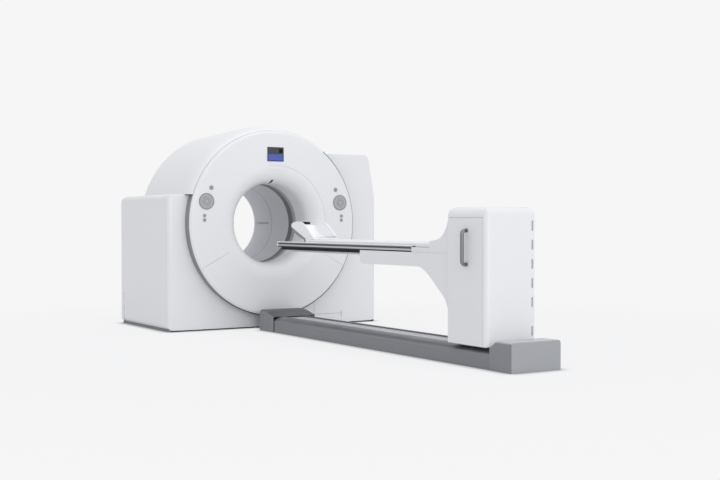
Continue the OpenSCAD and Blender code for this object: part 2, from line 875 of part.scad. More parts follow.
module travel_motor() {
    color(dark_grey) {
        rod_y(travel_screw_x, travel_screw_z, 50, rail_y0 - 160, rail_y0);
        box(travel_screw_x - 30, rail_y0 - 140, plate_t, travel_screw_x + 30, rail_y0 - 20, 50);
    }
}

module travel_screw() {
    color(steel)
        rod_y(travel_screw_x, travel_screw_z, screw_r, rail_y0 + seat_gap, block_y0 - seat_gap);
}

// Deck under the column, with legs through the rail's slots, shoes on the guides and the screw nut
module carriage() {
    y0 = col_y0 + deck_inset;
    y1 = col_y1 - deck_inset;
    shoe_top = plate_t + guide_h + 28;
    color(steel) difference() {
        union() {
            box(-deck_w, y0, deck_z, deck_w, y1, deck_top);
            for (s = [0, 1]) mirror([s, 0, 0]) {
                box(leg_x, y0, shoe_top - 18, leg_x + leg_t, y1, deck_z + overcut);
                for (y = [y0, y1 - shoe_len]) {
                    box(leg_x, y, shoe_top - 18, guide_x, y + shoe_len, shoe_top);
                    box(guide_x - 28, y, plate_t + 14, guide_x + 28, y + shoe_len, shoe_top);
                }
            }
            box(travel_screw_x - 20, col_y - 35, travel_screw_z - 22,
                leg_x + overcut, col_y + 35, travel_screw_z + 22);
        }
        for (s = [-1, 1])
            box(s * guide_x - guide_w / 2 - seat_gap, y0 - overcut, 0,
                s * guide_x + guide_w / 2 + seat_gap, y1 + overcut, plate_t + guide_h + seat_gap);
        rod_y(travel_screw_x, travel_screw_z, screw_r + run_gap, y0, y1);
    }
}

// Two posts with a top beam that carry the lift screw, on a foot that holds the side panels
module column_mast() {
    color(steel) difference() {
        union() {
            box(-column_w + panel_wall, mast_y0, deck_top,
                column_w - panel_wall, mast_y1, deck_top + mast_foot_t);
            for (x = [-post_out, post_in])
                box(x, mast_y0, deck_top, x + post_out - post_in, mast_y1, beam_z + beam_t);
            box(-post_out, mast_y0, beam_z, post_out, mast_y1, beam_z + beam_t);
        }
        translate([0, lift_y, deck_top - overcut])
            cylinder(r = screw_r + run_gap, h = beam_z + beam_t, $fn = small_fn);
    }
}

module column_form(inset) {
    low = inset > 0 ? column_foot - overcut : column_foot;
    intersection() {
        slab_z(low, column_top - inset)
            round_rect(-column_w + inset, col_y0 + inset, column_w - inset, col_y1 - inset,
                       [col_corner_r - inset, col_corner_r - inset, 0, 0]);
        slab_x(-column_w, column_w)
            round_rect(col_y0 + inset, low, col_y1 - inset, column_top - inset,
                       [0, 0, 30 - inset, cap_edge_r - inset]);
        slab_y(col_y0, col_y1)
            round_rect(-column_w + inset, low, column_w - inset, column_top - inset,
                       [0, 0, cap_edge_r - inset, cap_edge_r - inset]);
    }
}

// Rear shell and cap in one moulding, with a row of vent slots down one rear corner
module column_shell() {
    color(white) difference() {
        column_form(0);
        column_form(panel_wall);
        for (s = [0, 1]) mirror([s, 0, 0])
            box(column_w - panel_wall - 0.01, side_seam_y, column_foot - overcut,
                column_w + overcut, col_y1 + overcut, cap_seam_z);
        box(-column_w - overcut, col_y1 - panel_wall - 2, column_foot - overcut,
            column_w + overcut, col_y1 + overcut, cap_seam_z);
        for (z = concat([for (i = [0 : 4]) vent_top_z - i * vent_pitch], [low_vent_z]))
            box(column_w - col_corner_r - 9, col_y0 - overcut, z - vent_h / 2,
                column_w - col_corner_r + 7, col_y0 + panel_wall + 8, z + vent_h / 2);
    }
}

// Side panel on the +X side, with a tongue that laps behind the cap
module column_panel() {
    box(column_w - panel_wall, side_seam_y + seam, column_foot, column_w, col_y1, cap_seam_z - seam);
    box(column_w - 2 * panel_wall, side_seam_y + 20, cap_seam_z - 20,
        column_w - panel_wall, col_y1 - 40, cap_seam_z + 8);
}

module column_left_panel() {
    color(white) mirror([1, 0, 0]) column_panel();
}

module column_right_panel() {
    color(white) column_panel();
}

module column_front_panel() {
    w = column_w - panel_wall - seat_gap;
    color(white) difference() {
        box(-w, col_y1 - 1 - panel_wall, column_foot + seam, w, col_y1 - 1, cap_seam_z - seam);
        box(-neck_w - seam, col_y1 - 2 * panel_wall, neck_z0 - lift_travel - 5,
            neck_w + seam, col_y1, neck_z1 + 5);
    }
}

// Bow handle on the +X side: two stubs, two quarter bends and the grip
module bow_handle() {
    x = column_w + grip_off;
    translate([x, col_y, grip_low + grip_bend])
        cylinder(r = grip_r, h = grip_high - grip_low - 2 * grip_bend, $fn = small_fn);
    for (s = [0, 1])
        translate([0, col_y, s * (grip_low + grip_high)]) mirror([0, 0, s]) {
            translate([column_w, 0, grip_low]) rotate([0, 90, 0])
                cylinder(r = grip_r, h = grip_off - grip_bend, $fn = small_fn);
            translate([x - grip_bend, 0, grip_low + grip_bend]) rotate([90, 0, 0]) rotate([0, 0, -90])
                rotate_extrude(angle = 90, $fn = small_fn)
                    translate([grip_bend, 0]) circle(r = grip_r, $fn = small_fn);
        }
}

module column_handles() {
    color(mid_grey) {
        bow_handle();
        mirror([1, 0, 0]) bow_handle();
    }
}

module lift_motor() {
    color(dark_grey) translate([0, lift_y, beam_z + beam_t]) {
        cylinder(r = 48, h = 60, $fn = small_fn);
        translate([-60, -60, 0]) cube([120, 120, 8]);
    }
}

module lift_screw() {
    color(steel) translate([0, lift_y, deck_top + seat_gap])
        cylinder(r = screw_r, h = beam_z + beam_t - deck_top - 2 * seat_gap, $fn = small_fn);
}

// Lift carriage between the posts, neck through the front panel, root plate and cantilever beam
module arm_frame() {
    color(steel) difference() {
        union() {
            box(-post_in + seat_gap, lift_y - 45, carrier_z0, post_in - seat_gap, lift_y + 45, carrier_z1);
            box(-neck_w, lift_y, neck_z0, neck_w, arm_back_y + 20, neck_z1);
            box(-beam_w, arm_back_y + 8, root_z0, beam_w, arm_back_y + 8 + root_t, root_z1);
            box(-beam_w, arm_back_y + 8, beam_low, beam_w, nose_y - 41, beam_high);
        }
        translate([0, lift_y, carrier_z0 - overcut])
            cylinder(r = screw_r + run_gap, h = carrier_z1 - carrier_z0 + 2 * overcut, $fn = small_fn);
    }
}

module belly_outline(grow) {
    intersection() {
        translate([0, arm_deck - belly_depth + belly_r]) circle(r = belly_r + grow, $fn = round_fn);
        rect(-belly_w - grow, arm_deck - belly_depth - grow, belly_w + grow, arm_deck + overcut);
    }
}

// White moulding of the arm: straight nose, S-shaped root below, concave sweep up to the cap above
module arm_cover() {
    y = arm_back_y;
    nose_r = 33;
    step_y = mat_y0 - 4;
    side = concat(
        [[nose_y, arm_deck]],
        bend([nose_y, arm_bottom + nose_r], [nose_y, arm_bottom], [nose_y - nose_r, arm_bottom]),
        bend([y + 410, arm_bottom], [y + 340, arm_bottom], [y + 230, arm_bottom - 86]),
        bend([y + 90, arm_bottom - 199], [y + 28, arm_bottom - 249], [y + 3, flare_low_z]),
        [[y, flare_low_z - 10], [y, flare_top_z]],
        bend([y + 2, flare_top_z], [y + 43, arm_deck + 105], [y + 188, arm_deck + 96]),
        [[step_y, arm_deck + 86], [step_y, pallet_top], [pallet_y0 - seat_gap, pallet_top],
         [pallet_y0 - seat_gap, arm_deck]]
    );
    color(white) difference() {
        slab_x(-arm_w, arm_w) polygon(side);
        slab_y(pallet_y0 - seat_gap, nose_y + overcut) belly_outline(seat_gap);
        box(-beam_w - seat_gap, y - overcut, beam_low - seat_gap,
            beam_w + seat_gap, nose_y - 41 + seat_gap, beam_high + seat_gap);
        box(-beam_w - seat_gap, y - overcut, root_z0 - seat_gap,
            beam_w + seat_gap, y + 8 + root_t + seat_gap, root_z1 + seat_gap);
        for (s = [0, 1]) mirror([s, 0, 0])
            box(arm_w - 3, y + 50, arm_deck - 1, arm_w + overcut, pallet_y0, arm_deck + 1);
    }
}

module pallet_plan() {
    slab_z(arm_deck - belly_depth - overcut, pallet_top + 2 * lip_t)
        round_rect(-arm_w, pallet_y0, arm_w, tip_y, [0, 0, tip_r, tip_r]);
}

// Flat deck with a rounded belly, a lip along each side and a solid tip ahead of the rails
module pallet() {
    color(white) intersection() {
        union() {
            slab_y(rail_tip_y, tip_y) rect(-arm_w, arm_deck + 6, arm_w, pallet_top);
            slab_y(pallet_y0, tip_y) {
                rect(-pallet_w, arm_deck, pallet_w, pallet_top);
                belly_outline(0);
                for (s = [0, 1]) mirror([s, 0]) {
                    rect(pallet_w - lip_web, pallet_top - overcut, pallet_w, lip_z + lip_t);
                    rect(pallet_w - overcut, lip_z, arm_w, lip_z + lip_t);
                }
            }
        }
        pallet_plan();
    }
}

module pallet_rails() {
    color(light_grey) intersection() {
        slab_y(pallet_y0, rail_tip_y)
            for (x = [-arm_w, pallet_w])
                rect(x, arm_deck + 6, x + arm_w - pallet_w, lip_z - groove_h);
        pallet_plan();
    }
}

module pallet_runners() {
    color(black)
        for (x = [-pallet_w + 2, belly_w + 2])
            box(x, nose_y + seam, arm_deck - runner_h, x + pallet_w - belly_w - 4, rail_tip_y - 25, arm_deck);
}

module mattress() {
    color([0.93, 0.93, 0.93]) intersection() {
        slab_z(pallet_top, pallet_top + mattress_t)
            round_rect(-mat_w, mat_y0, mat_w, mat_y1, [10, 10, 45, 45]);
        slab_x(-mat_w, mat_w)
            round_rect(mat_y0, pallet_top, mat_y1, pallet_top + mattress_t, [0, 0, 14, 14]);
    }
}

// Cradle for the head: raised nose, hollow between two wings, foot on the pallet, tail over the mattress
module head_holder() {
    y = holder_y;
    z = pallet_top;
    top = z + head_h;
    tail_z = z + mattress_t + seat_gap;
    outside = concat(
        [[y - 422, tail_z], [y - 422, tail_z + 14]],
        bend([y - 400, tail_z + 22], [y - 250, top - 20], [y - 190, top - 5]),
        bend([y - 150, top], [y - 10, top + 2], [y, top - 30]),
        bend([y - 4, top - 50], [y - 60, z + 80], [y - 241, z + 30]),
        [[y - 241, z], [y - 370, z], [y - 370, tail_z]]
    );
    inside = concat(
        [[y - 430, top + 50], [y - 430, tail_z + 16]],
        bend([y - 300, z + 46], [y - 110, z + 60], [y - 14, top - 44]),
        [[y + 10, top - 20], [y + 10, top + 50]]
    );
    color(white) difference() {
        slab_x(-head_w, head_w) polygon(outside);
        slab_x(-head_w + holder_wall, head_w - holder_wall) polygon(inside);
    }
}

gantry_frame();
levelling_feet();
stator_plate();
ring_motor();
pet_detector_ring();
rotor_drum();
xray_tube();
ct_detector();
hv_generator();
slip_ring();
trim_ring();
drum_cover();
front_cover_upper();
front_cover_lower();
front_flare();
left_side_cover();
right_side_cover();
plinth_panel();
rear_cover();
scan_window();
front_liner();
rear_liner();
display_frame();
display_screen();
laser_windows();
keypad(-keypad_x);  // left_keypad
keypad(keypad_x);  // right_keypad
speaker_inserts();
key(-keypad_x);  // left_key
key(keypad_x);  // right_key
push_button(-button_x, button_ups[0]);  // left_button_upper
push_button(-button_x, button_ups[1]);  // left_button_lower
push_button(button_x, button_ups[0]);  // right_button_upper
push_button(button_x, button_ups[1]);  // right_button_lower
rail_frame();
guide_rails();
rail_top_cover();
rail_left_cover();
rail_right_cover();
gantry_block();
rail_end_cap();
travel_motor();
travel_screw();
carriage();
column_mast();
column_shell();
column_left_panel();
column_right_panel();
column_front_panel();
column_handles();
lift_motor();
lift_screw();
arm_frame();
arm_cover();
pallet();
pallet_rails();
pallet_runners();
mattress();
head_holder();
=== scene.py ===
"""PET-CT scanner with its patient table: materials, fine detail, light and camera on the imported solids."""
import json
import math

import bmesh
import bpy
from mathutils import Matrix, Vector

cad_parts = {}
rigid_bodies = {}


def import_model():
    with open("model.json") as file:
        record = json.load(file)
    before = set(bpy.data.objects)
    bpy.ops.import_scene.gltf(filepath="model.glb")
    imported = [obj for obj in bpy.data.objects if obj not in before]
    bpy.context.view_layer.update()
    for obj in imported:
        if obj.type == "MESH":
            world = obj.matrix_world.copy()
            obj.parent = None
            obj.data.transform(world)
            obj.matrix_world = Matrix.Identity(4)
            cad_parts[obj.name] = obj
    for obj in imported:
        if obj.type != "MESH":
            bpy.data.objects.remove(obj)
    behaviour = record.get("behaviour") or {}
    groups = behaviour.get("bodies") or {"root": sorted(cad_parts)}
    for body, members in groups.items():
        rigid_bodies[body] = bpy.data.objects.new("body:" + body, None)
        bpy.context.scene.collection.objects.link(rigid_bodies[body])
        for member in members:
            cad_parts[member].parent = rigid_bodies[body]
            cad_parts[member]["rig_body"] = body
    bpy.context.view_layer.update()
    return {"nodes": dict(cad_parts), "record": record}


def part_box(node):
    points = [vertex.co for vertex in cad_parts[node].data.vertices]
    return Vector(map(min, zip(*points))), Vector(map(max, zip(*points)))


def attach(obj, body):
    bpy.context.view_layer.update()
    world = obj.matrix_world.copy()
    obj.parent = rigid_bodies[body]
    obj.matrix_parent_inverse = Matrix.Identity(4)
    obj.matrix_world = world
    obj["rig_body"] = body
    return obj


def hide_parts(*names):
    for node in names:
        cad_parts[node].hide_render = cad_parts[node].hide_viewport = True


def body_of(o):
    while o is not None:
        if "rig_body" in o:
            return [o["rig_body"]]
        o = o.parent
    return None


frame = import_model()
NODES = frame["nodes"]


# ---------------------------------------------------------------- camera

CAMERA_AT = (-5.166, -10.355, 1.030)
CAMERA_YAW, CAMERA_DIP = 32.31, 0.91  # degrees from +Y towards +X, and below the horizon
SENSOR_MM, LENS_MM = 36.0, 56.39


def make_camera():
    lens = bpy.data.cameras.new("view_camera")
    lens.sensor_width = SENSOR_MM
    lens.lens = LENS_MM
    lens.clip_end = 100.0
    eye = bpy.data.objects.new("view_camera", lens)
    bpy.context.scene.collection.objects.link(eye)
    yaw, dip = math.radians(CAMERA_YAW), math.radians(CAMERA_DIP)
    look = Vector((math.sin(yaw) * math.cos(dip), math.cos(yaw) * math.cos(dip), -math.sin(dip)))
    eye.location = CAMERA_AT
    eye.rotation_mode = "QUATERNION"
    eye.rotation_quaternion = look.to_track_quat("-Z", "Y")
    bpy.context.scene.camera = eye


make_camera()


# ---------------------------------------------------------------- materials

def linear(value):
    """Display value from 0 to 1 turned into a linear one."""
    return value / 12.92 if value <= 0.04045 else ((value + 0.055) / 1.055) ** 2.4


def tone(red, green, blue):
    """Colour from display values between 0 and 255."""
    return (linear(red / 255), linear(green / 255), linear(blue / 255), 1.0)


def math_node(tree, operation, first, second=None):
    """A maths node on sockets or numbers, in a shader or a geometry tree."""
    made = tree.nodes.new("ShaderNodeMath")
    made.operation = operation
    for socket, value in zip(made.inputs, (first, second)):
        if isinstance(value, (int, float)):
            socket.default_value = value
        elif value is not None:
            tree.links.new(value, socket)
    return made.outputs[0]


class Finish:
    """A Principled material with helpers for the fine detail of painted, moulded and machined surfaces."""

    def __init__(self, name, colour, roughness, **sockets):
        self.material = bpy.data.materials.new(name)
        self.material.use_nodes = True
        self.tree = self.material.node_tree
        self.shader = self.tree.nodes["Principled BSDF"]
        self.shader.inputs["Base Color"].default_value = colour
        self.shader.inputs["Roughness"].default_value = roughness
        self.colour = colour
        self.roughness = roughness
        for socket, value in sockets.items():
            self.shader.inputs[socket.replace("_", " ")].default_value = value
        self.place = self.tree.nodes.new("ShaderNodeTexCoord").outputs["Object"]

    def node(self, kind, **settings):
        made = self.tree.nodes.new(kind)
        for key, value in settings.items():
            setattr(made, key, value)
        return made

    def link(self, source, target):
        self.tree.links.new(source, target)

    def paint(self, colour):
        """Feeds a colour socket to the surface."""
        self.link(colour, self.shader.inputs["Base Color"])
        return self

    def coordinate(self, axis):
        """One object coordinate of the shaded point."""
        split = self.node("ShaderNodeSeparateXYZ")
        self.link(self.place, split.inputs[0])
        return split.outputs[axis]

    def maths(self, operation, first, second=None):
        return math_node(self.tree, operation, first, second)

    def fade(self, source, start, end):
        """A soft step from 0 at the start value to 1 at the end value."""
        made = self.node("ShaderNodeMapRange", interpolation_type="SMOOTHSTEP")
        for socket, value in (("From Min", start), ("From Max", end), ("To Min", 0.0), ("To Max", 1.0)):
            made.inputs[socket].default_value = value
        self.link(source, made.inputs["Value"])
        return made.outputs["Result"]

    def noise(self, scale, detail=3.0, stretch=None):
        made = self.node("ShaderNodeTexNoise")
        made.inputs["Scale"].default_value = scale
        made.inputs["Detail"].default_value = detail
        if stretch:
            turn = self.node("ShaderNodeMapping")
            turn.inputs["Scale"].default_value = stretch
            self.link(self.place, turn.inputs["Vector"])
            self.link(turn.outputs["Vector"], made.inputs["Vector"])
        else:
            self.link(self.place, made.inputs["Vector"])
        return made.outputs["Fac"]

    def spread(self, source, low, high):
        made = self.node("ShaderNodeMapRange")
        made.inputs["From Min"].default_value = 0.3
        made.inputs["From Max"].default_value = 0.7
        made.inputs["To Min"].default_value = low
        made.inputs["To Max"].default_value = high
        self.link(source, made.inputs["Value"])
        return made.outputs["Result"]

    def vary_colour(self, scale, amount, stretch=None):
        ramp = self.node("ShaderNodeMix", data_type="RGBA")
        dark = tuple(c * (1 - amount) for c in self.colour[:3]) + (1.0,)
        light = tuple(min(1.0, c * (1 + amount)) for c in self.colour[:3]) + (1.0,)
        ramp.inputs["A"].default_value = dark
        ramp.inputs["B"].default_value = light
        self.link(self.noise(scale, 4.0, stretch), ramp.inputs["Factor"])
        return self.paint(ramp.outputs["Result"])

    def vary_roughness(self, scale, amount, stretch=None):
        out = self.spread(self.noise(scale, 3.0, stretch), self.roughness - amount, self.roughness + amount)
        self.link(out, self.shader.inputs["Roughness"])
        return self

    def grain(self, scale, depth, strength=0.3, stretch=None, detail=2.0):
        bump = self.node("ShaderNodeBump")
        bump.inputs["Strength"].default_value = strength
        bump.inputs["Distance"].default_value = depth
        self.link(self.noise(scale, detail, stretch), bump.inputs["Height"])
        self.link(bump.outputs["Normal"], self.shader.inputs["Normal"])
        return self


def cover_paint(name, colour, roughness=0.38):
    """Sprayed moulding: fine orange peel and an even satin sheen."""
    return (Finish(name, colour, roughness, Specular_IOR_Level=0.45)
            .vary_colour(1.3, 0.008).vary_roughness(7.0, 0.03).grain(900.0, 0.00025, 0.12).material)


def moulded(name, colour, roughness=0.5, grain=1400.0):
    return (Finish(name, colour, roughness, Specular_IOR_Level=0.4)
            .vary_colour(9.0, 0.02).vary_roughness(30.0, 0.04).grain(grain, 0.0002, 0.2).material)


def brushed(name, colour, roughness, stretch):
    return (Finish(name, colour, roughness, Metallic=1.0)
            .vary_colour(4.0, 0.03).vary_roughness(60.0, 0.06, stretch)
            .grain(300.0, 0.00008, 0.25, stretch).material)


def band(finish, axis, low, high):
    """1 where an object coordinate lies between two values, 0 elsewhere."""
    place = finish.coordinate(axis)
    return finish.maths("MULTIPLY", finish.maths("GREATER_THAN", place, low), finish.maths("LESS_THAN", place, high))


def laid_over(finish, under, colour, mask):
    """A colour laid over another one by a mask from 0 to 1."""
    mix = finish.node("ShaderNodeMix", data_type="RGBA")
    if isinstance(under, tuple):
        mix.inputs["A"].default_value = under
    else:
        finish.link(under, mix.inputs["A"])
    mix.inputs["B"].default_value = colour
    finish.link(mask, mix.inputs["Factor"])
    return mix.outputs["Result"]


def display_glass():
    """Display under glass: a dark upper field with a black tile, and a blue lower field with plain bars."""
    (x0, _, z0), (x1, _, z1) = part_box("display_screen")
    wide, tall = x1 - x0, z1 - z0
    glass = Finish("screen", tone(40, 41, 45), 0.12, Specular_IOR_Level=0.15, Coat_Weight=0.12,
                   Emission_Strength=0.12)

    def field(under, colour, left, right, low, high):
        """A rectangle between shares of the display's width and height."""
        across = band(glass, "X", x0 + left * wide, x0 + right * wide)
        up = band(glass, "Z", z0 + low * tall, z0 + high * tall)
        return laid_over(glass, under, colour, glass.maths("MULTIPLY", across, up))

    picture = laid_over(glass, tone(70, 71, 76), tone(78, 94, 166), band(glass, "Z", z0, z0 + 0.50 * tall))
    picture = field(picture, tone(8, 8, 10), 0.74, 0.97, 0.60, 0.94)
    for i in range(3):
        low = 0.10 + 0.13 * i
        picture = field(picture, tone(92, 108, 178), 0.08, 0.72 - 0.16 * i, low, low + 0.035)
    glass.link(picture, glass.shader.inputs["Emission Color"])
    return glass.paint(picture).vary_roughness(30.0, 0.02).material


def window_ring():
    """Scan ring: a dark band at the back that turns to mid grey towards the flare."""
    back_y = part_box("scan_window")[0][1]
    ring = Finish("window_dark", tone(80, 81, 86), 0.34, Specular_IOR_Level=0.35)
    towards_flare = ring.fade(ring.coordinate("Y"), back_y + 0.070, back_y + 0.050)
    picture = laid_over(ring, ring.colour, tone(166, 167, 171), towards_flare)
    return ring.paint(picture).vary_roughness(30.0, 0.04).material


def grey_with_painted_facing_light(name, side, top, front):
    """Grey coat of the floor rail, with painted light and shade: its own tone on the sides and painted tones on the
    top and the ends, set by which way each face points.
    """
    coat = Finish(name, tone(side, side + 2, side + 7), 0.36, Specular_IOR_Level=0.5)
    facing = coat.node("ShaderNodeSeparateXYZ")
    coat.link(coat.node("ShaderNodeTexCoord").outputs["Normal"], facing.inputs[0])
    picture = coat.colour
    # painted light and shade: top faces and end faces get their own tones from their normals, lighter or darker than
    # the sides
    for axis, start, end, shade in (("Z", 0.35, 0.90, top), ("Y", -0.35, -0.90, front)):
        turned = coat.fade(facing.outputs[axis], start, end)
        picture = laid_over(coat, picture, tone(shade, shade + 2, shade + 6), turned)
    return coat.paint(picture).vary_roughness(9.0, 0.04).grain(1100.0, 0.0002, 0.18).material


def rail_extrusion():
    """Satin aluminium side rail of the pallet with painted shade along its top and bottom, where the grooves beside
    it lie in shadow.
    """
    low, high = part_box("pallet_rails")
    drawn = (30.0, 1.0, 30.0)
    rail = Finish("rail_alu", tone(190, 192, 196), 0.34, Metallic=1.0)
    # painted shade: a near-black band at the rail's foot and a dark band at its top, for the shadowed grooves below
    # and above it
    picture = laid_over(rail, rail.colour, tone(40, 41, 44), band(rail, "Z", low[2] - 0.01, low[2] + 0.0045))
    picture = laid_over(rail, picture, tone(84, 85, 88), band(rail, "Z", high[2] - 0.0070, high[2] + 0.01))
    return rail.paint(picture).vary_roughness(60.0, 0.06, drawn).grain(300.0, 0.00008, 0.25, drawn).material


def pallet_paint():
    """Pallet: white edges, painted shade on the belly between the runners, and a painted shadow line just above
    them.
    """
    low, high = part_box("pallet_runners")
    paint = Finish("pallet_white", tone(236, 237, 239), 0.38, Specular_IOR_Level=0.45)
    # painted shade: the white belly under the pallet is painted grey as if in the pallet's shadow
    picture = laid_over(paint, paint.colour, tone(190, 192, 195), band(paint, "Z", 0.0, low[2] + 0.002))
    # painted shadow: a dark band above the runners for the shadow in the gap there
    picture = laid_over(paint, picture, tone(44, 45, 48), band(paint, "Z", high[2] - 0.0005, high[2] + 0.0065))
    return paint.paint(picture).vary_roughness(7.0, 0.03).grain(900.0, 0.00025, 0.12).material


# shades of a keypad from its centre to its rim, by share of the rim's radius
KEYPAD_RINGS = [(0.0, (182, 184, 187)), (0.215, (142, 144, 148)), (0.275, (160, 162, 166)), (0.385, (172, 174, 178)),
                (0.52, (148, 150, 154)), (0.58, (174, 176, 180)), (0.84, (148, 150, 154)), (1.0, (156, 158, 162))]


def keypad_plastic():
    """Grey keypads: a dark joint round the middle key, a lighter ring of keys and a darker rim."""
    low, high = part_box("right_keypad")
    centre_x, centre_z, rim = (low[0] + high[0]) / 2, (low[2] + high[2]) / 2, (high[2] - low[2]) / 2
    plastic = Finish("key_grey", tone(160, 162, 166), 0.45, Specular_IOR_Level=0.4)
    spot = plastic.node("ShaderNodeCombineXYZ")
    plastic.link(plastic.maths("ABSOLUTE", plastic.coordinate("X")), spot.inputs["X"])
    plastic.link(plastic.coordinate("Z"), spot.inputs["Z"])
    reach = plastic.node("ShaderNodeVectorMath", operation="DISTANCE")
    reach.inputs[1].default_value = (centre_x, 0.0, centre_z)
    plastic.link(spot.outputs[0], reach.inputs[0])
    rings = plastic.node("ShaderNodeValToRGB")
    ramp = rings.color_ramp
    ramp.interpolation = "CONSTANT"
    for element, (share, shade) in zip(ramp.elements, (KEYPAD_RINGS[0], KEYPAD_RINGS[-1])):
        element.position, element.color = share, tone(*shade)
    for share, shade in KEYPAD_RINGS[1:-1]:
        ramp.elements.new(share).color = tone(*shade)
    plastic.link(plastic.maths("DIVIDE", reach.outputs["Value"], rim), rings.inputs["Fac"])
    return plastic.paint(rings.outputs["Color"]).vary_roughness(30.0, 0.04).grain(1400.0, 0.0002, 0.2).material


def handle_metal():
    """Satin tube with dark sockets where it meets the column."""
    drawn = (30.0, 30.0, 1.0)
    metal = Finish("handle_alu", tone(132, 134, 139), 0.34, Metallic=0.6)
    socket_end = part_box("column_right_panel")[1][0] + 0.024
    near = metal.maths("LESS_THAN", metal.maths("ABSOLUTE", metal.coordinate("X")), socket_end)
    picture = laid_over(metal, metal.colour, tone(104, 106, 110), near)
    return metal.paint(picture).vary_roughness(60.0, 0.05, drawn).grain(300.0, 0.00008, 0.2, drawn).material


FINISHES = {
    "button_grey": moulded("button_grey", tone(158, 160, 164), 0.42),
    "holder_white": cover_paint("holder_white", tone(246, 247, 249), 0.30),
    "slat_grey": moulded("slat_grey", tone(206, 207, 210), 0.45),
    "shade_grey": moulded("shade_grey", tone(168, 170, 173), 0.5),
    "seal_black": moulded("seal_black", tone(52, 53, 56), 0.55),
    "cover_white": cover_paint("cover_white", tone(233, 234, 236)),
    "shell_white": cover_paint("shell_white", tone(233, 234, 236), 0.36),
    "trim_dark": moulded("trim_dark", tone(138, 140, 144), 0.45),
    "liner_grey": moulded("liner_grey", tone(216, 217, 221), 0.42),
    "window_dark": window_ring(),
    "laser_glass": (Finish("laser_glass", tone(16, 16, 18), 0.25, Specular_IOR_Level=0.2)
                    .vary_roughness(40.0, 0.03).material),
    "gloss_black": (Finish("gloss_black", tone(24, 24, 27), 0.12, Coat_Weight=0.5)
                    .vary_roughness(40.0, 0.03).material),
    "screen": display_glass(),
    "key_grey": keypad_plastic(),
    # side, top and end tones: the top and end tones are painted light and shade (the block's top painted dark, the
    # cap's top and end painted light)
    "rail_grey": grey_with_painted_facing_light("rail_grey", 125, 98, 125),
    "block_grey": grey_with_painted_facing_light("block_grey", 133, 74, 118),
    "cap_grey": grey_with_painted_facing_light("cap_grey", 132, 190, 160),
    "pallet_white": pallet_paint(),
    "edge_grey": moulded("edge_grey", tone(142, 144, 148), 0.5),
    "seal_light": moulded("seal_light", tone(164, 166, 168), 0.55),
    "seal_grey": moulded("seal_grey", tone(128, 130, 133), 0.55),
    "rail_light": (Finish("rail_light", tone(196, 198, 202), 0.40, Specular_IOR_Level=0.45)
                   .vary_colour(3.0, 0.015).vary_roughness(9.0, 0.04).grain(1100.0, 0.0002, 0.15).material),
    "steel_plate": brushed("steel_plate", tone(168, 170, 174), 0.36, (1.0, 30.0, 30.0)),
    "cast_housing": (Finish("cast_housing", tone(158, 160, 164), 0.55, Metallic=0.7)
                     .vary_colour(6.0, 0.04).vary_roughness(24.0, 0.08).grain(420.0, 0.0004, 0.35).material),
    "ring_brass": brushed("ring_brass", tone(190, 158, 96), 0.30, (30.0, 1.0, 30.0)),
    "handle_alu": handle_metal(),
    "rail_alu": rail_extrusion(),
    # painted shadow: the runners are near black to stand for the shadow in the gap under the pallet's side rails
    "runner_black": (Finish("runner_black", tone(20, 20, 22), 0.55, Specular_IOR_Level=0.2)
                     .vary_roughness(30.0, 0.04).grain(1400.0, 0.0002, 0.2).material),
    "pad_white": (Finish("pad_white", tone(233, 235, 237), 0.48, Sheen_Weight=0.08)
                  .vary_colour(5.0, 0.012).vary_roughness(18.0, 0.05).grain(650.0, 0.0005, 0.35).material),
}

SLOT_OF = {part["node"]: part["material_slot"] for part in frame["record"]["subparts"]}
for node, slot_name in SLOT_OF.items():
    NODES[node].data.materials.clear()
    NODES[node].data.materials.append(FINISHES[slot_name])


# ---------------------------------------------------------------- eased edges on the mouldings

def new_piece(name, mesh, finish):
    mesh.materials.clear()
    mesh.materials.append(finish)
    piece = bpy.data.objects.new(name, mesh)
    bpy.context.scene.collection.objects.link(piece)
    return piece


def plain_mesh(name, shape, smooth=True):
    """Turns a bmesh into a named mesh and frees it."""
    mesh = bpy.data.meshes.new(name)
    shape.to_mesh(mesh)
    shape.free()
    for face in mesh.polygons:
        face.use_smooth = smooth
    return mesh


def evaluated(piece):
    """The mesh of an object with its modifiers applied."""
    return bpy.data.meshes.new_from_object(piece.evaluated_get(bpy.context.evaluated_depsgraph_get()))


def ease(node, width, finish, segments=3, angle=math.radians(32)):
    """A copy of a CAD solid with smooth curves and rounded edges, shown in its place."""
    solid = NODES[node]
    shape = bmesh.new()
    shape.from_mesh(solid.data)
    bmesh.ops.remove_doubles(shape, verts=shape.verts, dist=2e-6)
    bmesh.ops.dissolve_limit(shape, angle_limit=math.radians(0.3), verts=shape.verts, edges=shape.edges)
    mesh = plain_mesh(node + "_eased", shape)
    mesh.set_sharp_from_angle(angle=angle)
    piece = new_piece(node + "_eased", mesh, finish)
    if width:
        edge = piece.modifiers.new("eased_edge", "BEVEL")
        edge.width = width
        edge.segments = segments
        edge.limit_method = "ANGLE"
        edge.angle_limit = angle
        edge.harden_normals = True
    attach(piece, body_of(solid)[0])
    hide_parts(node)


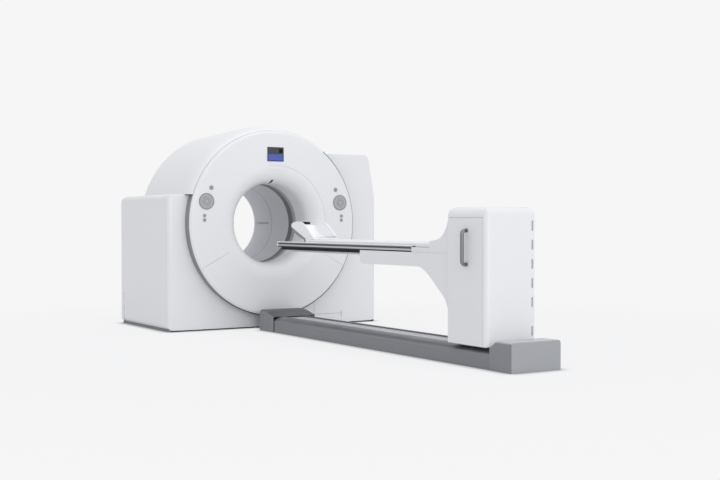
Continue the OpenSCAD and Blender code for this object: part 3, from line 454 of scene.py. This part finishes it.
# width of the rounding on each solid's edges
EASED = {
    "front_cover_upper": 0.0015, "front_cover_lower": 0.0015, "front_flare": 0.0015,
    "trim_ring": 0.001, "drum_cover": 0.002, "left_side_cover": 0.0015, "right_side_cover": 0.0015,
    "plinth_panel": 0.0012, "scan_window": 0.0, "front_liner": 0.0, "rear_liner": 0.0,
    "display_frame": 0.0008, "left_keypad": 0.0008, "right_keypad": 0.0008,
    "left_key": 0.0022, "right_key": 0.0022, "left_button_upper": 0.002, "left_button_lower": 0.002,
    "right_button_upper": 0.002, "right_button_lower": 0.002, "speaker_inserts": 0.0005, "laser_windows": 0.0,
    "rail_top_cover": 0.001, "rail_left_cover": 0.0015, "rail_right_cover": 0.0015,
    "gantry_block": 0.004, "rail_end_cap": 0.004,
    "column_shell": 0.002, "column_left_panel": 0.0012, "column_right_panel": 0.0012,
    "column_front_panel": 0.001, "column_handles": 0.0,
    "arm_cover": 0.011, "pallet": 0.0025, "pallet_rails": 0.0015, "pallet_runners": 0.002, "head_holder": 0.004,
}
# finishes that differ from the solid's own slot
SPECIAL = {"head_holder": "holder_white", "speaker_inserts": "button_grey", "laser_windows": "laser_glass",
           "gantry_block": "block_grey", "rail_end_cap": "cap_grey", "pallet": "pallet_white",
           "left_button_upper": "button_grey", "left_button_lower": "button_grey",
           "right_button_upper": "button_grey", "right_button_lower": "button_grey"}
for node, width in EASED.items():
    ease(node, width, FINISHES[SPECIAL.get(node, SLOT_OF[node])])


# ---------------------------------------------------------------- repeated detail grown with Geometry Nodes

def grower(name, inputs):
    """An empty tree with named inputs; returns it with its nodes and each input's identifier."""
    tree = bpy.data.node_groups.new(name, "GeometryNodeTree")
    tree.is_modifier = True
    tree.interface.new_socket("Places", in_out="INPUT", socket_type="NodeSocketGeometry")
    sockets = {}
    for label, kind in inputs:
        sockets[label] = tree.interface.new_socket(label, in_out="INPUT", socket_type=kind).identifier
    tree.interface.new_socket("Geometry", in_out="OUTPUT", socket_type="NodeSocketGeometry")
    return tree, tree.nodes.new("NodeGroupInput"), tree.nodes.new("NodeGroupOutput"), sockets


def finish_tree(tree, geometry, start, end):
    """Puts the geometry at each place, makes it real and gives it its finish."""
    link = tree.links.new
    whole = tree.nodes.new("GeometryNodeGeometryToInstance")
    spread = tree.nodes.new("GeometryNodeInstanceOnPoints")
    real = tree.nodes.new("GeometryNodeRealizeInstances")
    coat = tree.nodes.new("GeometryNodeSetMaterial")
    link(geometry, whole.inputs["Geometry"])
    link(start.outputs["Places"], spread.inputs["Points"])
    link(whole.outputs["Instances"], spread.inputs["Instance"])
    link(spread.outputs["Instances"], real.inputs["Geometry"])
    link(real.outputs["Geometry"], coat.inputs["Geometry"])
    link(start.outputs["Finish"], coat.inputs["Material"])
    link(coat.outputs["Geometry"], end.inputs["Geometry"])


def slat_tree():
    """At each place, a stack of equal slats."""
    tree, start, end, sockets = grower("slat_stack", [
        ("Slats", "NodeSocketInt"), ("First Offset", "NodeSocketVector"), ("Step", "NodeSocketVector"),
        ("Slat Size", "NodeSocketVector"), ("Finish", "NodeSocketMaterial")])
    link = tree.links.new
    line = tree.nodes.new("GeometryNodeMeshLine")
    slat = tree.nodes.new("GeometryNodeMeshCube")
    stack = tree.nodes.new("GeometryNodeInstanceOnPoints")
    link(start.outputs["Slats"], line.inputs["Count"])
    link(start.outputs["First Offset"], line.inputs["Start Location"])
    link(start.outputs["Step"], line.inputs["Offset"])
    link(start.outputs["Slat Size"], slat.inputs["Size"])
    link(line.outputs["Mesh"], stack.inputs["Points"])
    link(slat.outputs["Mesh"], stack.inputs["Instance"])
    finish_tree(tree, stack.outputs["Instances"], start, end)
    return tree, sockets


GOLDEN_ANGLE = 2.399963  # radians


def perforation_tree():
    """At each place, a round field of holes on a sunflower spiral, shown as dark plugs facing -Y."""
    tree, start, end, sockets = grower("perforation", [
        ("Holes", "NodeSocketInt"), ("Field Radius", "NodeSocketFloat"), ("Hole Radius", "NodeSocketFloat"),
        ("Plug Depth", "NodeSocketFloat"), ("Finish", "NodeSocketMaterial")])
    link = tree.links.new
    index = tree.nodes.new("GeometryNodeInputIndex").outputs[0]
    share = math_node(tree, "DIVIDE", math_node(tree, "ADD", index, 0.5), start.outputs["Holes"])
    radius = math_node(tree, "MULTIPLY", math_node(tree, "SQRT", share), start.outputs["Field Radius"])
    turn = math_node(tree, "MULTIPLY", index, GOLDEN_ANGLE)
    place = tree.nodes.new("ShaderNodeCombineXYZ")
    link(math_node(tree, "MULTIPLY", radius, math_node(tree, "COSINE", turn)), place.inputs["X"])
    link(math_node(tree, "MULTIPLY", radius, math_node(tree, "SINE", turn)), place.inputs["Z"])
    field = tree.nodes.new("GeometryNodePoints")
    link(start.outputs["Holes"], field.inputs["Count"])
    link(place.outputs["Vector"], field.inputs["Position"])
    plug = tree.nodes.new("GeometryNodeMeshCylinder")
    plug.inputs["Vertices"].default_value = 10
    link(start.outputs["Hole Radius"], plug.inputs["Radius"])
    link(start.outputs["Plug Depth"], plug.inputs["Depth"])
    holes = tree.nodes.new("GeometryNodeInstanceOnPoints")
    holes.inputs["Rotation"].default_value = (math.radians(90), 0.0, 0.0)
    link(field.outputs["Points" if "Points" in field.outputs else "Geometry"], holes.inputs["Points"])
    link(plug.outputs["Mesh"], holes.inputs["Instance"])
    finish_tree(tree, holes.outputs["Instances"], start, end)
    return tree, sockets


def screw_tree():
    """At each place, a countersunk screw head facing up: a low cone with a six-sided socket cut into it."""
    tree, start, end, sockets = grower("screw_heads", [
        ("Head Radius", "NodeSocketFloat"), ("Head Height", "NodeSocketFloat"), ("Finish", "NodeSocketMaterial")])
    link = tree.links.new
    radius, height = start.outputs["Head Radius"], start.outputs["Head Height"]
    head = tree.nodes.new("GeometryNodeMeshCone")
    head.inputs["Vertices"].default_value = 20
    link(math_node(tree, "MULTIPLY", radius, 0.86), head.inputs["Radius Top"])
    link(radius, head.inputs["Radius Bottom"])
    link(height, head.inputs["Depth"])
    key = tree.nodes.new("GeometryNodeMeshCylinder")
    key.inputs["Vertices"].default_value = 6
    link(math_node(tree, "MULTIPLY", radius, 0.42), key.inputs["Radius"])
    link(math_node(tree, "MULTIPLY", height, 2.4), key.inputs["Depth"])
    cut = tree.nodes.new("GeometryNodeMeshBoolean")
    cut.operation = "DIFFERENCE"
    link(head.outputs["Mesh"], cut.inputs["Mesh 1"])
    link(key.outputs["Mesh"], cut.inputs["Mesh 2"])
    finish_tree(tree, cut.outputs["Mesh"], start, end)
    return tree, sockets


def grow(name, grown, places, values, finish, body):
    """Runs a tree on a set of places and keeps the result as one plain mesh on a body."""
    tree, sockets = grown
    seed = bpy.data.meshes.new(name + "_places")
    seed.from_pydata([tuple(place) for place in places], [], [])
    carrier = bpy.data.objects.new(name + "_places", seed)
    bpy.context.scene.collection.objects.link(carrier)
    maker = carrier.modifiers.new(name, "NODES")
    maker.node_group = tree
    maker[sockets["Finish"]] = FINISHES[finish]
    for label, value in values.items():
        maker[sockets[label]] = value
    carrier.update_tag()
    mesh = evaluated(carrier)
    mesh.name = name
    carrier.modifiers.remove(maker)
    bpy.data.objects.remove(carrier)
    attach(new_piece(name, mesh, FINISHES[finish]), body)


SLATS, PERFORATION, SCREWS = slat_tree(), perforation_tree(), screw_tree()

# vent grilles: eight slats above each other, and a backing plate behind each opening
SLAT_COUNT, SLAT_PITCH, SLAT_T = 8, 0.009, 0.003
FIRST_SLAT_Z, BACKING_H = -0.0315, 0.082
BEHIND = 0.003  # from a grille's middle to its backing's middle


def grille(name, vents, slat_x, slat_y, backing_x, backing_y, behind, body):
    """Slats and backing plates at the middles of some vents; behind is the way in from the outside."""
    grow(name + "_slats", SLATS, vents,
         {"Slats": SLAT_COUNT, "First Offset": (0.0, 0.0, FIRST_SLAT_Z), "Step": (0.0, 0.0, SLAT_PITCH),
          "Slat Size": (slat_x, slat_y, SLAT_T)}, "slat_grey", body)
    grow(name + "_backing", SLATS, [(x + behind[0], y + behind[1], z) for x, y, z in vents],
         {"Slats": 1, "First Offset": (0.0, 0.0, 0.0), "Step": (0.0, 0.0, 0.01),
          "Slat Size": (backing_x, backing_y, BACKING_H)}, "shade_grey", body)


# column's rear shell: a row of five vents and one near the floor
shell_low, shell_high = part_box("column_shell")
column_vent_z = [1.005 - 0.137 * i for i in range(5)] + [0.249]
grille("column_vent", [(shell_high[0] - 0.041, shell_low[1] + 0.003, z) for z in column_vent_z],
       0.0155, 0.004, 0.024, 0.002, (0.0, BEHIND), "column")

# left side cover: three vents near its rear edge
side_low, side_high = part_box("left_side_cover")
grille("side_vent", [(side_low[0] + 0.004, side_high[1] - 0.091, z) for z in (0.069, 0.160, 0.278)],
       0.004, 0.0115, 0.002, 0.022, (BEHIND, 0.0), "gantry")

# fine perforation of the two speaker inserts
speaker_low, speaker_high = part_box("speaker_inserts")
speaker_r = (speaker_high[2] - speaker_low[2]) / 2
speaker_x = speaker_high[0] - speaker_r
speaker_z = (speaker_low[2] + speaker_high[2]) / 2
grow("speaker_perforation", PERFORATION, [(side * speaker_x, speaker_low[1], speaker_z) for side in (-1, 1)],
     {"Holes": 60, "Field Radius": speaker_r - 0.003, "Hole Radius": 0.0011, "Plug Depth": 0.0006},
     "trim_dark", "gantry")

# two rows of screws along the rail's top cover
SCREWS_PER_ROW, SCREW_X, FIRST_SCREW = 12, 0.082, 0.09
top_low, top_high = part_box("rail_top_cover")
screw_pitch = (top_high[1] - top_low[1] - 2 * FIRST_SCREW) / (SCREWS_PER_ROW - 1)
screw_places = [(side * SCREW_X, top_low[1] + FIRST_SCREW + i * screw_pitch, top_high[2] + 0.0004)
                for side in (-1, 1) for i in range(SCREWS_PER_ROW)]
grow("rail_cover_screws", SCREWS, screw_places, {"Head Radius": 0.0055, "Head Height": 0.0012},
     "steel_plate", "gantry")


# ---------------------------------------------------------------- strips, seals and turned pieces

def strip(name, low, high, round_by, finish, body):
    """A long moulded strip between two corners, with rounded edges."""
    shape = bmesh.new()
    bmesh.ops.create_cube(shape, size=1.0)
    for vertex in shape.verts:
        vertex.co = [a + (c + 0.5) * (b - a) for a, b, c in zip(low, high, vertex.co)]
    bmesh.ops.bevel(shape, geom=list(shape.edges), offset=round_by, segments=3, affect="EDGES", profile=0.5)
    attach(new_piece(name, plain_mesh(name, shape), FINISHES[finish]), body)


def curve(first, middle, last, steps=14):
    """Points of a quadratic curve."""
    points = []
    for i in range(steps + 1):
        t = i / steps
        weights = (1 - t) ** 2, 2 * t * (1 - t), t * t
        points.append(tuple(sum(w * c for w, c in zip(weights, place)) for place in zip(first, middle, last)))
    return points


def block(r0, r1, y0, y1):
    """Profile of a plain ring between two radii and two stations."""
    return [(r0, y0), (r1, y0), (r1, y1), (r0, y1)]


def turned(name, profile, first, last, finish, run_out=0.0):
    """A closed (radius, y) profile swept round the bore axis between two angles in degrees, on the gantry.

    A full turn closes on itself. Over the run_out share of the sweep the profile grows from nearly nothing."""
    step, start_size = 1.4, 0.05
    shape = bmesh.new()
    steps = int((last - first) / step)
    inner = min(r for r, _ in profile)
    rows = []
    for i in range(steps + 1):
        turn = math.radians(first + (last - first) * i / steps)
        size = start_size + (1 - start_size) * min(1.0, i / (steps * run_out)) if run_out else 1.0
        row = []
        for r, y in profile:
            reach = inner + (r - inner) * size
            row.append(shape.verts.new((reach * math.cos(turn), y, axis_z + reach * math.sin(turn))))
        rows.append(row)
    if last - first == 360.0:
        for vertex in rows.pop():
            shape.verts.remove(vertex)
        rows.append(rows[0])
    else:
        shape.faces.new(rows[0])
        shape.faces.new(rows[-1][::-1])
    for here, after in zip(rows, rows[1:]):
        for j in range(len(profile)):
            k = (j + 1) % len(profile)
            shape.faces.new((here[j], here[k], after[k], after[j]))
    bmesh.ops.recalc_face_normals(shape, faces=shape.faces)
    mesh = plain_mesh(name, shape)
    mesh.set_sharp_from_angle(angle=math.radians(40))
    piece = new_piece(name, mesh, FINISHES[finish])
    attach(piece, "gantry")
    return piece


# grey strips between the pallet and the top of its side rails: painted shade for the shadow in the groove there
GROOVE_SHADE_INNER_X, GROOVE_SHADE_OUTER_X = 0.1885, 0.1945
rail_low, rail_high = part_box("pallet_rails")
for side, label in ((-1, "left"), (1, "right")):
    inner, outer = side * GROOVE_SHADE_INNER_X, side * GROOVE_SHADE_OUTER_X
    strip("pallet_groove_shade_" + label, (min(inner, outer), rail_low[1] + 0.002, rail_high[2] + 0.0005),
          (max(inner, outer), rail_high[1] - 0.002, rail_high[2] + 0.0045), 0.0008, "seal_grey", "arm")

ring_low, ring_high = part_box("trim_ring")
axis_z = (ring_low[2] + ring_high[2]) / 2

# rear cover, turned in one piece: bore lip, rounded mouth, flat cone and eased rim
BORE_R, MOUTH_R, LIP, COVER_WALL = 0.390, 0.045, 0.010, 0.008
back_low, back_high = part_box("rear_cover")
rim_r, rim_y, back_y = back_high[0], back_low[1], back_high[1]
lip_y = back_y - MOUTH_R


def mouth(radius):
    """Quarter circle round the mouth's centre, from the bore lip to the rear face."""
    angles = [math.radians(a) for a in range(0, 91, 6)]
    return [(BORE_R + MOUTH_R - radius * math.cos(a), lip_y + radius * math.sin(a)) for a in angles]


crease = (rim_r - 0.040, rim_y + 0.035)
outside = ([(BORE_R, lip_y - LIP)] + mouth(MOUTH_R)
           + curve((crease[0] - 0.012, crease[1] + 0.0016), crease, (crease[0] + 0.009, crease[1] - 0.0079), 5)
           + curve((rim_r - 0.0015, rim_y + 0.0013), (rim_r, rim_y), (rim_r - 0.0015, rim_y), 3))
inside = ([(rim_r - COVER_WALL, rim_y), (rim_r - 0.044, rim_y + 0.027)] + mouth(MOUTH_R - COVER_WALL)[::-1]
          + [(BORE_R + COVER_WALL, lip_y - LIP)])
back = turned("rear_cover_turned", outside + inside, 0.0, 360.0, "cover_white")
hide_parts("rear_cover")

# black bead behind the rim of the front cover, from below round to the top of the right side cover: painted shadow
# for the dark gap between the cover's rim and the side covers
disc_low, disc_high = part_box("front_cover_upper")
left_low, left_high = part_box("left_side_cover")
right_low, right_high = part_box("right_side_cover")
disc_r, bead_y = disc_high[0], disc_high[1]
bead_last = 360.0 + math.degrees(math.asin((right_high[2] - axis_z) / disc_r))
bead = [(disc_r + r, bead_y + y) for r, y in (
    (-0.006, 0.0005), (0.007, 0.0005), (0.011, 0.003), (0.011, 0.006), (0.007, 0.009), (-0.006, 0.009))]
turned("rim_shadow_bead", bead, 200.0, bead_last, "seal_black", run_out=0.3)

# filler that closes the joint round the flare, but for its upper right part
JOINT_R, JOINT_HALF = 0.563, 0.004
turned("flare_filler", block(JOINT_R - JOINT_HALF, JOINT_R + JOINT_HALF, disc_low[1] - 0.0002, disc_low[1] + 0.004),
       98.0, 342.0, "cover_white")

# skirt that closes the gap between the covers and the floor, just behind the covers' walls; its colour is painted
# shadow for that gap
SKIRT_T, BLOCK_HALF = 0.006, 0.160
FRONT_IN, SIDE_IN, CORNER_IN = 0.009, 0.016, 0.024  # from the covers' faces, and from their corners
foot = left_low[2]
x_left, x_right, y_front, y_rear = left_low[0], right_high[0], left_low[1], left_high[1]
skirt_runs = [
    ("front_left", (x_left + CORNER_IN, y_front + FRONT_IN), (-BLOCK_HALF, y_front + FRONT_IN + SKIRT_T)),
    ("front_right", (BLOCK_HALF, y_front + FRONT_IN), (x_right - CORNER_IN, y_front + FRONT_IN + SKIRT_T)),
    ("left", (x_left + SIDE_IN, y_front + SIDE_IN), (x_left + SIDE_IN + SKIRT_T, y_rear - CORNER_IN)),
    ("right", (x_right - SIDE_IN - SKIRT_T, y_front + SIDE_IN), (x_right - SIDE_IN, y_rear - CORNER_IN)),
    ("rear", (x_left + CORNER_IN, y_rear - SIDE_IN - SKIRT_T), (x_right - CORNER_IN, y_rear - SIDE_IN)),
]
for label, start, end in skirt_runs:
    # painted shadow: black strips at the front, grey ones on the sides and rear, for the gap's shadow as it shows
    # from each side
    lap, finish = (0.0005, "seal_black") if label.startswith("front") else (0.010, "seal_grey")
    strip("floor_skirt_" + label, (*start, 0.0005), (*end, foot + lap), 0.0008, finish, "gantry")

# thin seals in the joints of the plinth panel, and the catch at its end
PANEL_W, PANEL_END, TONGUE_H, SEAL_W = 0.502, 0.820, 0.102, 0.0024
panel_low, panel_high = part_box("plinth_panel")
seal_y0, seal_y1 = panel_low[1] - 0.0008, panel_low[1] + 0.003
strip("plinth_seal_side", (PANEL_W, seal_y0, TONGUE_H + 0.0005), (PANEL_W + SEAL_W, seal_y1, panel_high[2] + 0.094),
      0.0005, "seal_grey", "gantry")
strip("plinth_seal_top", (PANEL_W + SEAL_W, seal_y0, TONGUE_H), (PANEL_END, seal_y1, TONGUE_H + SEAL_W),
      0.0005, "seal_grey", "gantry")
strip("plinth_seal_end", (PANEL_END, seal_y0, foot + 0.001), (PANEL_END + SEAL_W, seal_y1, TONGUE_H + SEAL_W),
      0.0005, "seal_light", "gantry")
strip("plinth_catch", (PANEL_END, seal_y0 - 0.0004, TONGUE_H - 0.030),
      (PANEL_END + 0.0055, seal_y1, TONGUE_H + 0.026), 0.0008, "seal_grey", "gantry")

# grey fillings of the rear liner's slots, a little behind its inner face: painted shade for the slots' shadowed
# inside
LINER_WALL, SLOT_FIRST, SLOT_LAST, SLOT_HALF_H = 0.005, 0.078, 0.286, 0.0098
liner_low, liner_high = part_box("rear_liner")
liner_in = liner_high[0] - LINER_WALL
for side, label in ((-1, "left"), (1, "right")):
    near, far = side * (liner_in + 0.0004), side * (liner_in + 0.0045)
    strip("slot_well_" + label, (min(near, far), liner_low[1] + SLOT_FIRST, axis_z - SLOT_HALF_H),
          (max(near, far), liner_low[1] + SLOT_LAST, axis_z + SLOT_HALF_H), 0.0006, "shade_grey", "gantry")

# joint line between the two lengths of the tunnel liner
turned("liner_joint", block(BORE_R - 0.0004, BORE_R + 0.0022, liner_low[1] - 0.003, liner_low[1] + 0.003),
       0.0, 359.0, "seal_grey")

# grey edge of the head holder's shell, under each white wing: (behind the nose, above the foot)
holder_low, holder_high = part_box("head_holder")
nose_y, foot_z = holder_high[1], holder_low[2]


def holder_line(first, middle, last, end):
    """A curve along the holder's side that ends in a point on its foot."""
    points = [(nose_y - back, foot_z + up) for back, up in (first, middle, last, end)]
    return curve(*points[:3]) + points[3:]


lower = holder_line((0.0045, 0.142), (0.060, 0.080), (0.240, 0.0305), (0.2405, 0.001))
upper = holder_line((0.006, 0.150), (0.080, 0.116), (0.266, 0.044), (0.272, 0.001))
for side, label in ((-1, "left"), (1, "right")):
    shape = bmesh.new()
    outer_x, inner_x = side * (holder_high[0] + 0.0012), side * (holder_high[0] - 0.004)
    rows = [[shape.verts.new((x, y, z)) for x in (outer_x, inner_x)] for y, z in lower + upper[::-1]]
    for here, after in zip(rows, rows[1:] + rows[:1]):
        shape.faces.new((here[0], here[1], after[1], after[0]))
    for j in range(len(lower) - 1):
        for k in (0, 1):
            quad = (rows[j][k], rows[j + 1][k], rows[-2 - j][k], rows[-1 - j][k])
            shape.faces.new(quad if k else quad[::-1])
    bmesh.ops.recalc_face_normals(shape, faces=shape.faces)
    name = "holder_edge_" + label
    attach(new_piece(name, plain_mesh(name, shape, smooth=False), FINISHES["edge_grey"]), "arm")


# ---------------------------------------------------------------- the padded mattress

PAD_INSET = 0.004      # room left to swell into, at the sides and on top
PAD_GRID = 0.011       # cell of the foam's mesh
PAD_BASE = 0.009       # height of the held base
PAD_PRESSURE = 4.0
PAD_FRAMES = 12
PAD_SWELL = 0.005      # furthest that a point may move


def padded_mattress():
    """Foam pad in smooth vinyl, swollen by pressure against its held base and kept within its solid's box."""
    low, high = (Vector(v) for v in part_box("mattress"))
    scene = bpy.context.scene
    shape = bmesh.new()
    shape.from_mesh(NODES["mattress"].data)
    bmesh.ops.remove_doubles(shape, verts=shape.verts, dist=1e-5)
    centre = (low + high) / 2
    for vertex in shape.verts:
        for axis in (0, 1):
            reach = high[axis] - centre[axis]
            vertex.co[axis] = centre[axis] + (vertex.co[axis] - centre[axis]) * (reach - PAD_INSET) / reach
        vertex.co[2] = low[2] + (vertex.co[2] - low[2]) * (high[2] - low[2] - PAD_INSET) / (high[2] - low[2])
    pad = new_piece("mattress_pad", plain_mesh("mattress_pad", shape, smooth=False), FINISHES["pad_white"])
    remesh = pad.modifiers.new("foam", "REMESH")
    remesh.mode = "VOXEL"
    remesh.voxel_size = PAD_GRID
    foam = evaluated(pad)
    pad.modifiers.remove(remesh)
    pad.data = foam
    start = [vertex.co.copy() for vertex in foam.vertices]
    base = pad.vertex_groups.new(name="base")
    base.add([v.index for v in foam.vertices if v.co.z < low.z + PAD_BASE], 1.0, "REPLACE")
    cloth = pad.modifiers.new("swell", "CLOTH")
    cloth.settings.vertex_group_mass = "base"
    cloth.settings.use_pressure = True
    cloth.settings.uniform_pressure_force = PAD_PRESSURE
    cloth.settings.quality = 4
    cloth.settings.tension_stiffness = 30.0
    cloth.settings.effector_weights.gravity = 0.0
    cloth.collision_settings.use_collision = False
    for step in range(1, PAD_FRAMES + 1):
        scene.frame_set(step)
    swollen = evaluated(pad)
    pad.modifiers.remove(cloth)
    scene.frame_set(1)
    pad.data = swollen
    for vertex, home in zip(swollen.vertices, start):
        moved = vertex.co - home
        if moved.length > PAD_SWELL:
            vertex.co = home + moved * (PAD_SWELL / moved.length)
        vertex.co = [min(max(c, a), b) for a, b, c in zip(low, high, vertex.co)]
        if home.z < low.z + PAD_BASE:
            vertex.co.z = max(low.z + 0.0003, home.z)
    swollen.materials.clear()
    swollen.materials.append(FINISHES["pad_white"])
    for face in swollen.polygons:
        face.use_smooth = True
    soft = pad.modifiers.new("soft", "SUBSURF")
    soft.levels = soft.render_levels = 1
    pad.vertex_groups.clear()
    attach(pad, "arm")
    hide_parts("mattress")


padded_mattress()


# ---------------------------------------------------------------- room and light

BACKDROP = tone(246, 246, 247)
FLOOR_COAT = tone(238, 238, 239)
CONTACT_SHADE, CONTACT_REACH, CONTACT_POWER = tone(96, 97, 100), 0.09, 1.6
# share of the even backdrop in the floor's tone: near the object's middle, and far from it
FADE_CENTRE, FADE_NEAR, FADE_FAR = (0.0, -2.0, 0.0), (2.2, 0.82), (5.5, 1.0)
AMBIENT_COLOUR, AMBIENT_STRENGTH = (0.97, 0.98, 1.0, 1.0), 0.71
FLOOR_HALF, FLOOR_LEVEL = 80.0, -0.001


def studio_rays(tree):
    """1 for camera, glossy and transmission rays, 0 for the rays that light the object."""
    ray = tree.nodes.new("ShaderNodeLightPath").outputs
    gloss = math_node(tree, "MAXIMUM", ray["Is Glossy Ray"], ray["Is Transmission Ray"])
    return math_node(tree, "MAXIMUM", ray["Is Camera Ray"], gloss)


def mixed_shader(tree, share, first, second, output):
    """Mixes two shaders by a share and feeds them to the surface of an output node."""
    mix = tree.nodes.new("ShaderNodeMixShader")
    for source, socket in zip((share, first.outputs[0], second.outputs[0]), mix.inputs):
        tree.links.new(source, socket)
    tree.links.new(mix.outputs[0], tree.nodes[output].inputs["Surface"])


def floor_finish():
    """Pale studio floor: an even backdrop tone with the object's contact shadow and part of its soft shadow."""
    made = bpy.data.materials.new("studio_floor")
    made.use_nodes = True
    tree = made.node_tree
    shader = tree.nodes["Principled BSDF"]
    shader.inputs["Base Color"].default_value = FLOOR_COAT
    shader.inputs["Roughness"].default_value = 0.95
    shader.inputs["Specular IOR Level"].default_value = 0.0
    glow = tree.nodes.new("ShaderNodeEmission")
    contact = tree.nodes.new("ShaderNodeAmbientOcclusion")
    contact.inputs["Distance"].default_value = CONTACT_REACH
    contact.samples = 8
    dim = tree.nodes.new("ShaderNodeMix")
    dim.data_type = "RGBA"
    dim.inputs["A"].default_value = CONTACT_SHADE
    dim.inputs["B"].default_value = BACKDROP
    tree.links.new(math_node(tree, "POWER", contact.outputs["AO"], CONTACT_POWER), dim.inputs["Factor"])
    tree.links.new(dim.outputs["Result"], glow.inputs["Color"])
    # the lit share fades out with distance, so that the floor runs into the backdrop with no horizon
    place = tree.nodes.new("ShaderNodeTexCoord")
    away = tree.nodes.new("ShaderNodeVectorMath")
    away.operation = "DISTANCE"
    away.inputs[1].default_value = FADE_CENTRE
    tree.links.new(place.outputs["Object"], away.inputs[0])
    fade = tree.nodes.new("ShaderNodeMapRange")
    for end, (distance, share) in (("Min", FADE_NEAR), ("Max", FADE_FAR)):
        fade.inputs["From " + end].default_value = distance
        fade.inputs["To " + end].default_value = share
    tree.links.new(away.outputs["Value"], fade.inputs["Value"])
    share = math_node(tree, "MULTIPLY", fade.outputs["Result"], studio_rays(tree))
    mixed_shader(tree, share, shader, glow, "Material Output")
    return made


def make_floor():
    mesh = bpy.data.meshes.new("studio_floor")
    floor = bpy.data.objects.new("studio_floor", mesh)
    bpy.context.scene.collection.objects.link(floor)
    corners = ((-1, -1), (1, -1), (1, 1), (-1, 1))
    mesh.from_pydata([(x * FLOOR_HALF, y * FLOOR_HALF, FLOOR_LEVEL) for x, y in corners], [], [(0, 1, 2, 3)])
    mesh.materials.append(floor_finish())


def make_world():
    """Even ambient light, seen by the camera and in reflections as the plain backdrop."""
    world = bpy.data.worlds.new("studio")
    bpy.context.scene.world = world
    world.use_nodes = True
    tree = world.node_tree
    ambient = tree.nodes["Background"]
    backdrop = tree.nodes.new("ShaderNodeBackground")
    for light, colour, strength in ((ambient, AMBIENT_COLOUR, AMBIENT_STRENGTH), (backdrop, BACKDROP, 1.0)):
        light.inputs["Color"].default_value = colour
        light.inputs["Strength"].default_value = strength
    mixed_shader(tree, studio_rays(tree), ambient, backdrop, "World Output")


def soft_lamp(name, place, target, size, power):
    """An area lamp turned towards a point."""
    lamp = bpy.data.lights.new(name, "AREA")
    lamp.shape = "RECTANGLE"
    lamp.size, lamp.size_y = size
    lamp.energy = power
    stand = bpy.data.objects.new(name, lamp)
    bpy.context.scene.collection.objects.link(stand)
    stand.location = place
    stand.rotation_mode = "QUATERNION"
    stand.rotation_quaternion = (Vector(target) - Vector(place)).to_track_quat("-Z", "Y")


bpy.context.scene.view_settings.view_transform = "Standard"
make_floor()
make_world()
soft_lamp("front_lamp", (-1.5, -20.0, 6.0), (0.0, -1.5, 0.8), (14.0, 9.0), 800.0)
soft_lamp("top_lamp", (0.0, -2.0, 9.0), (0.0, -2.0, 0.0), (10.0, 10.0), 240.0)
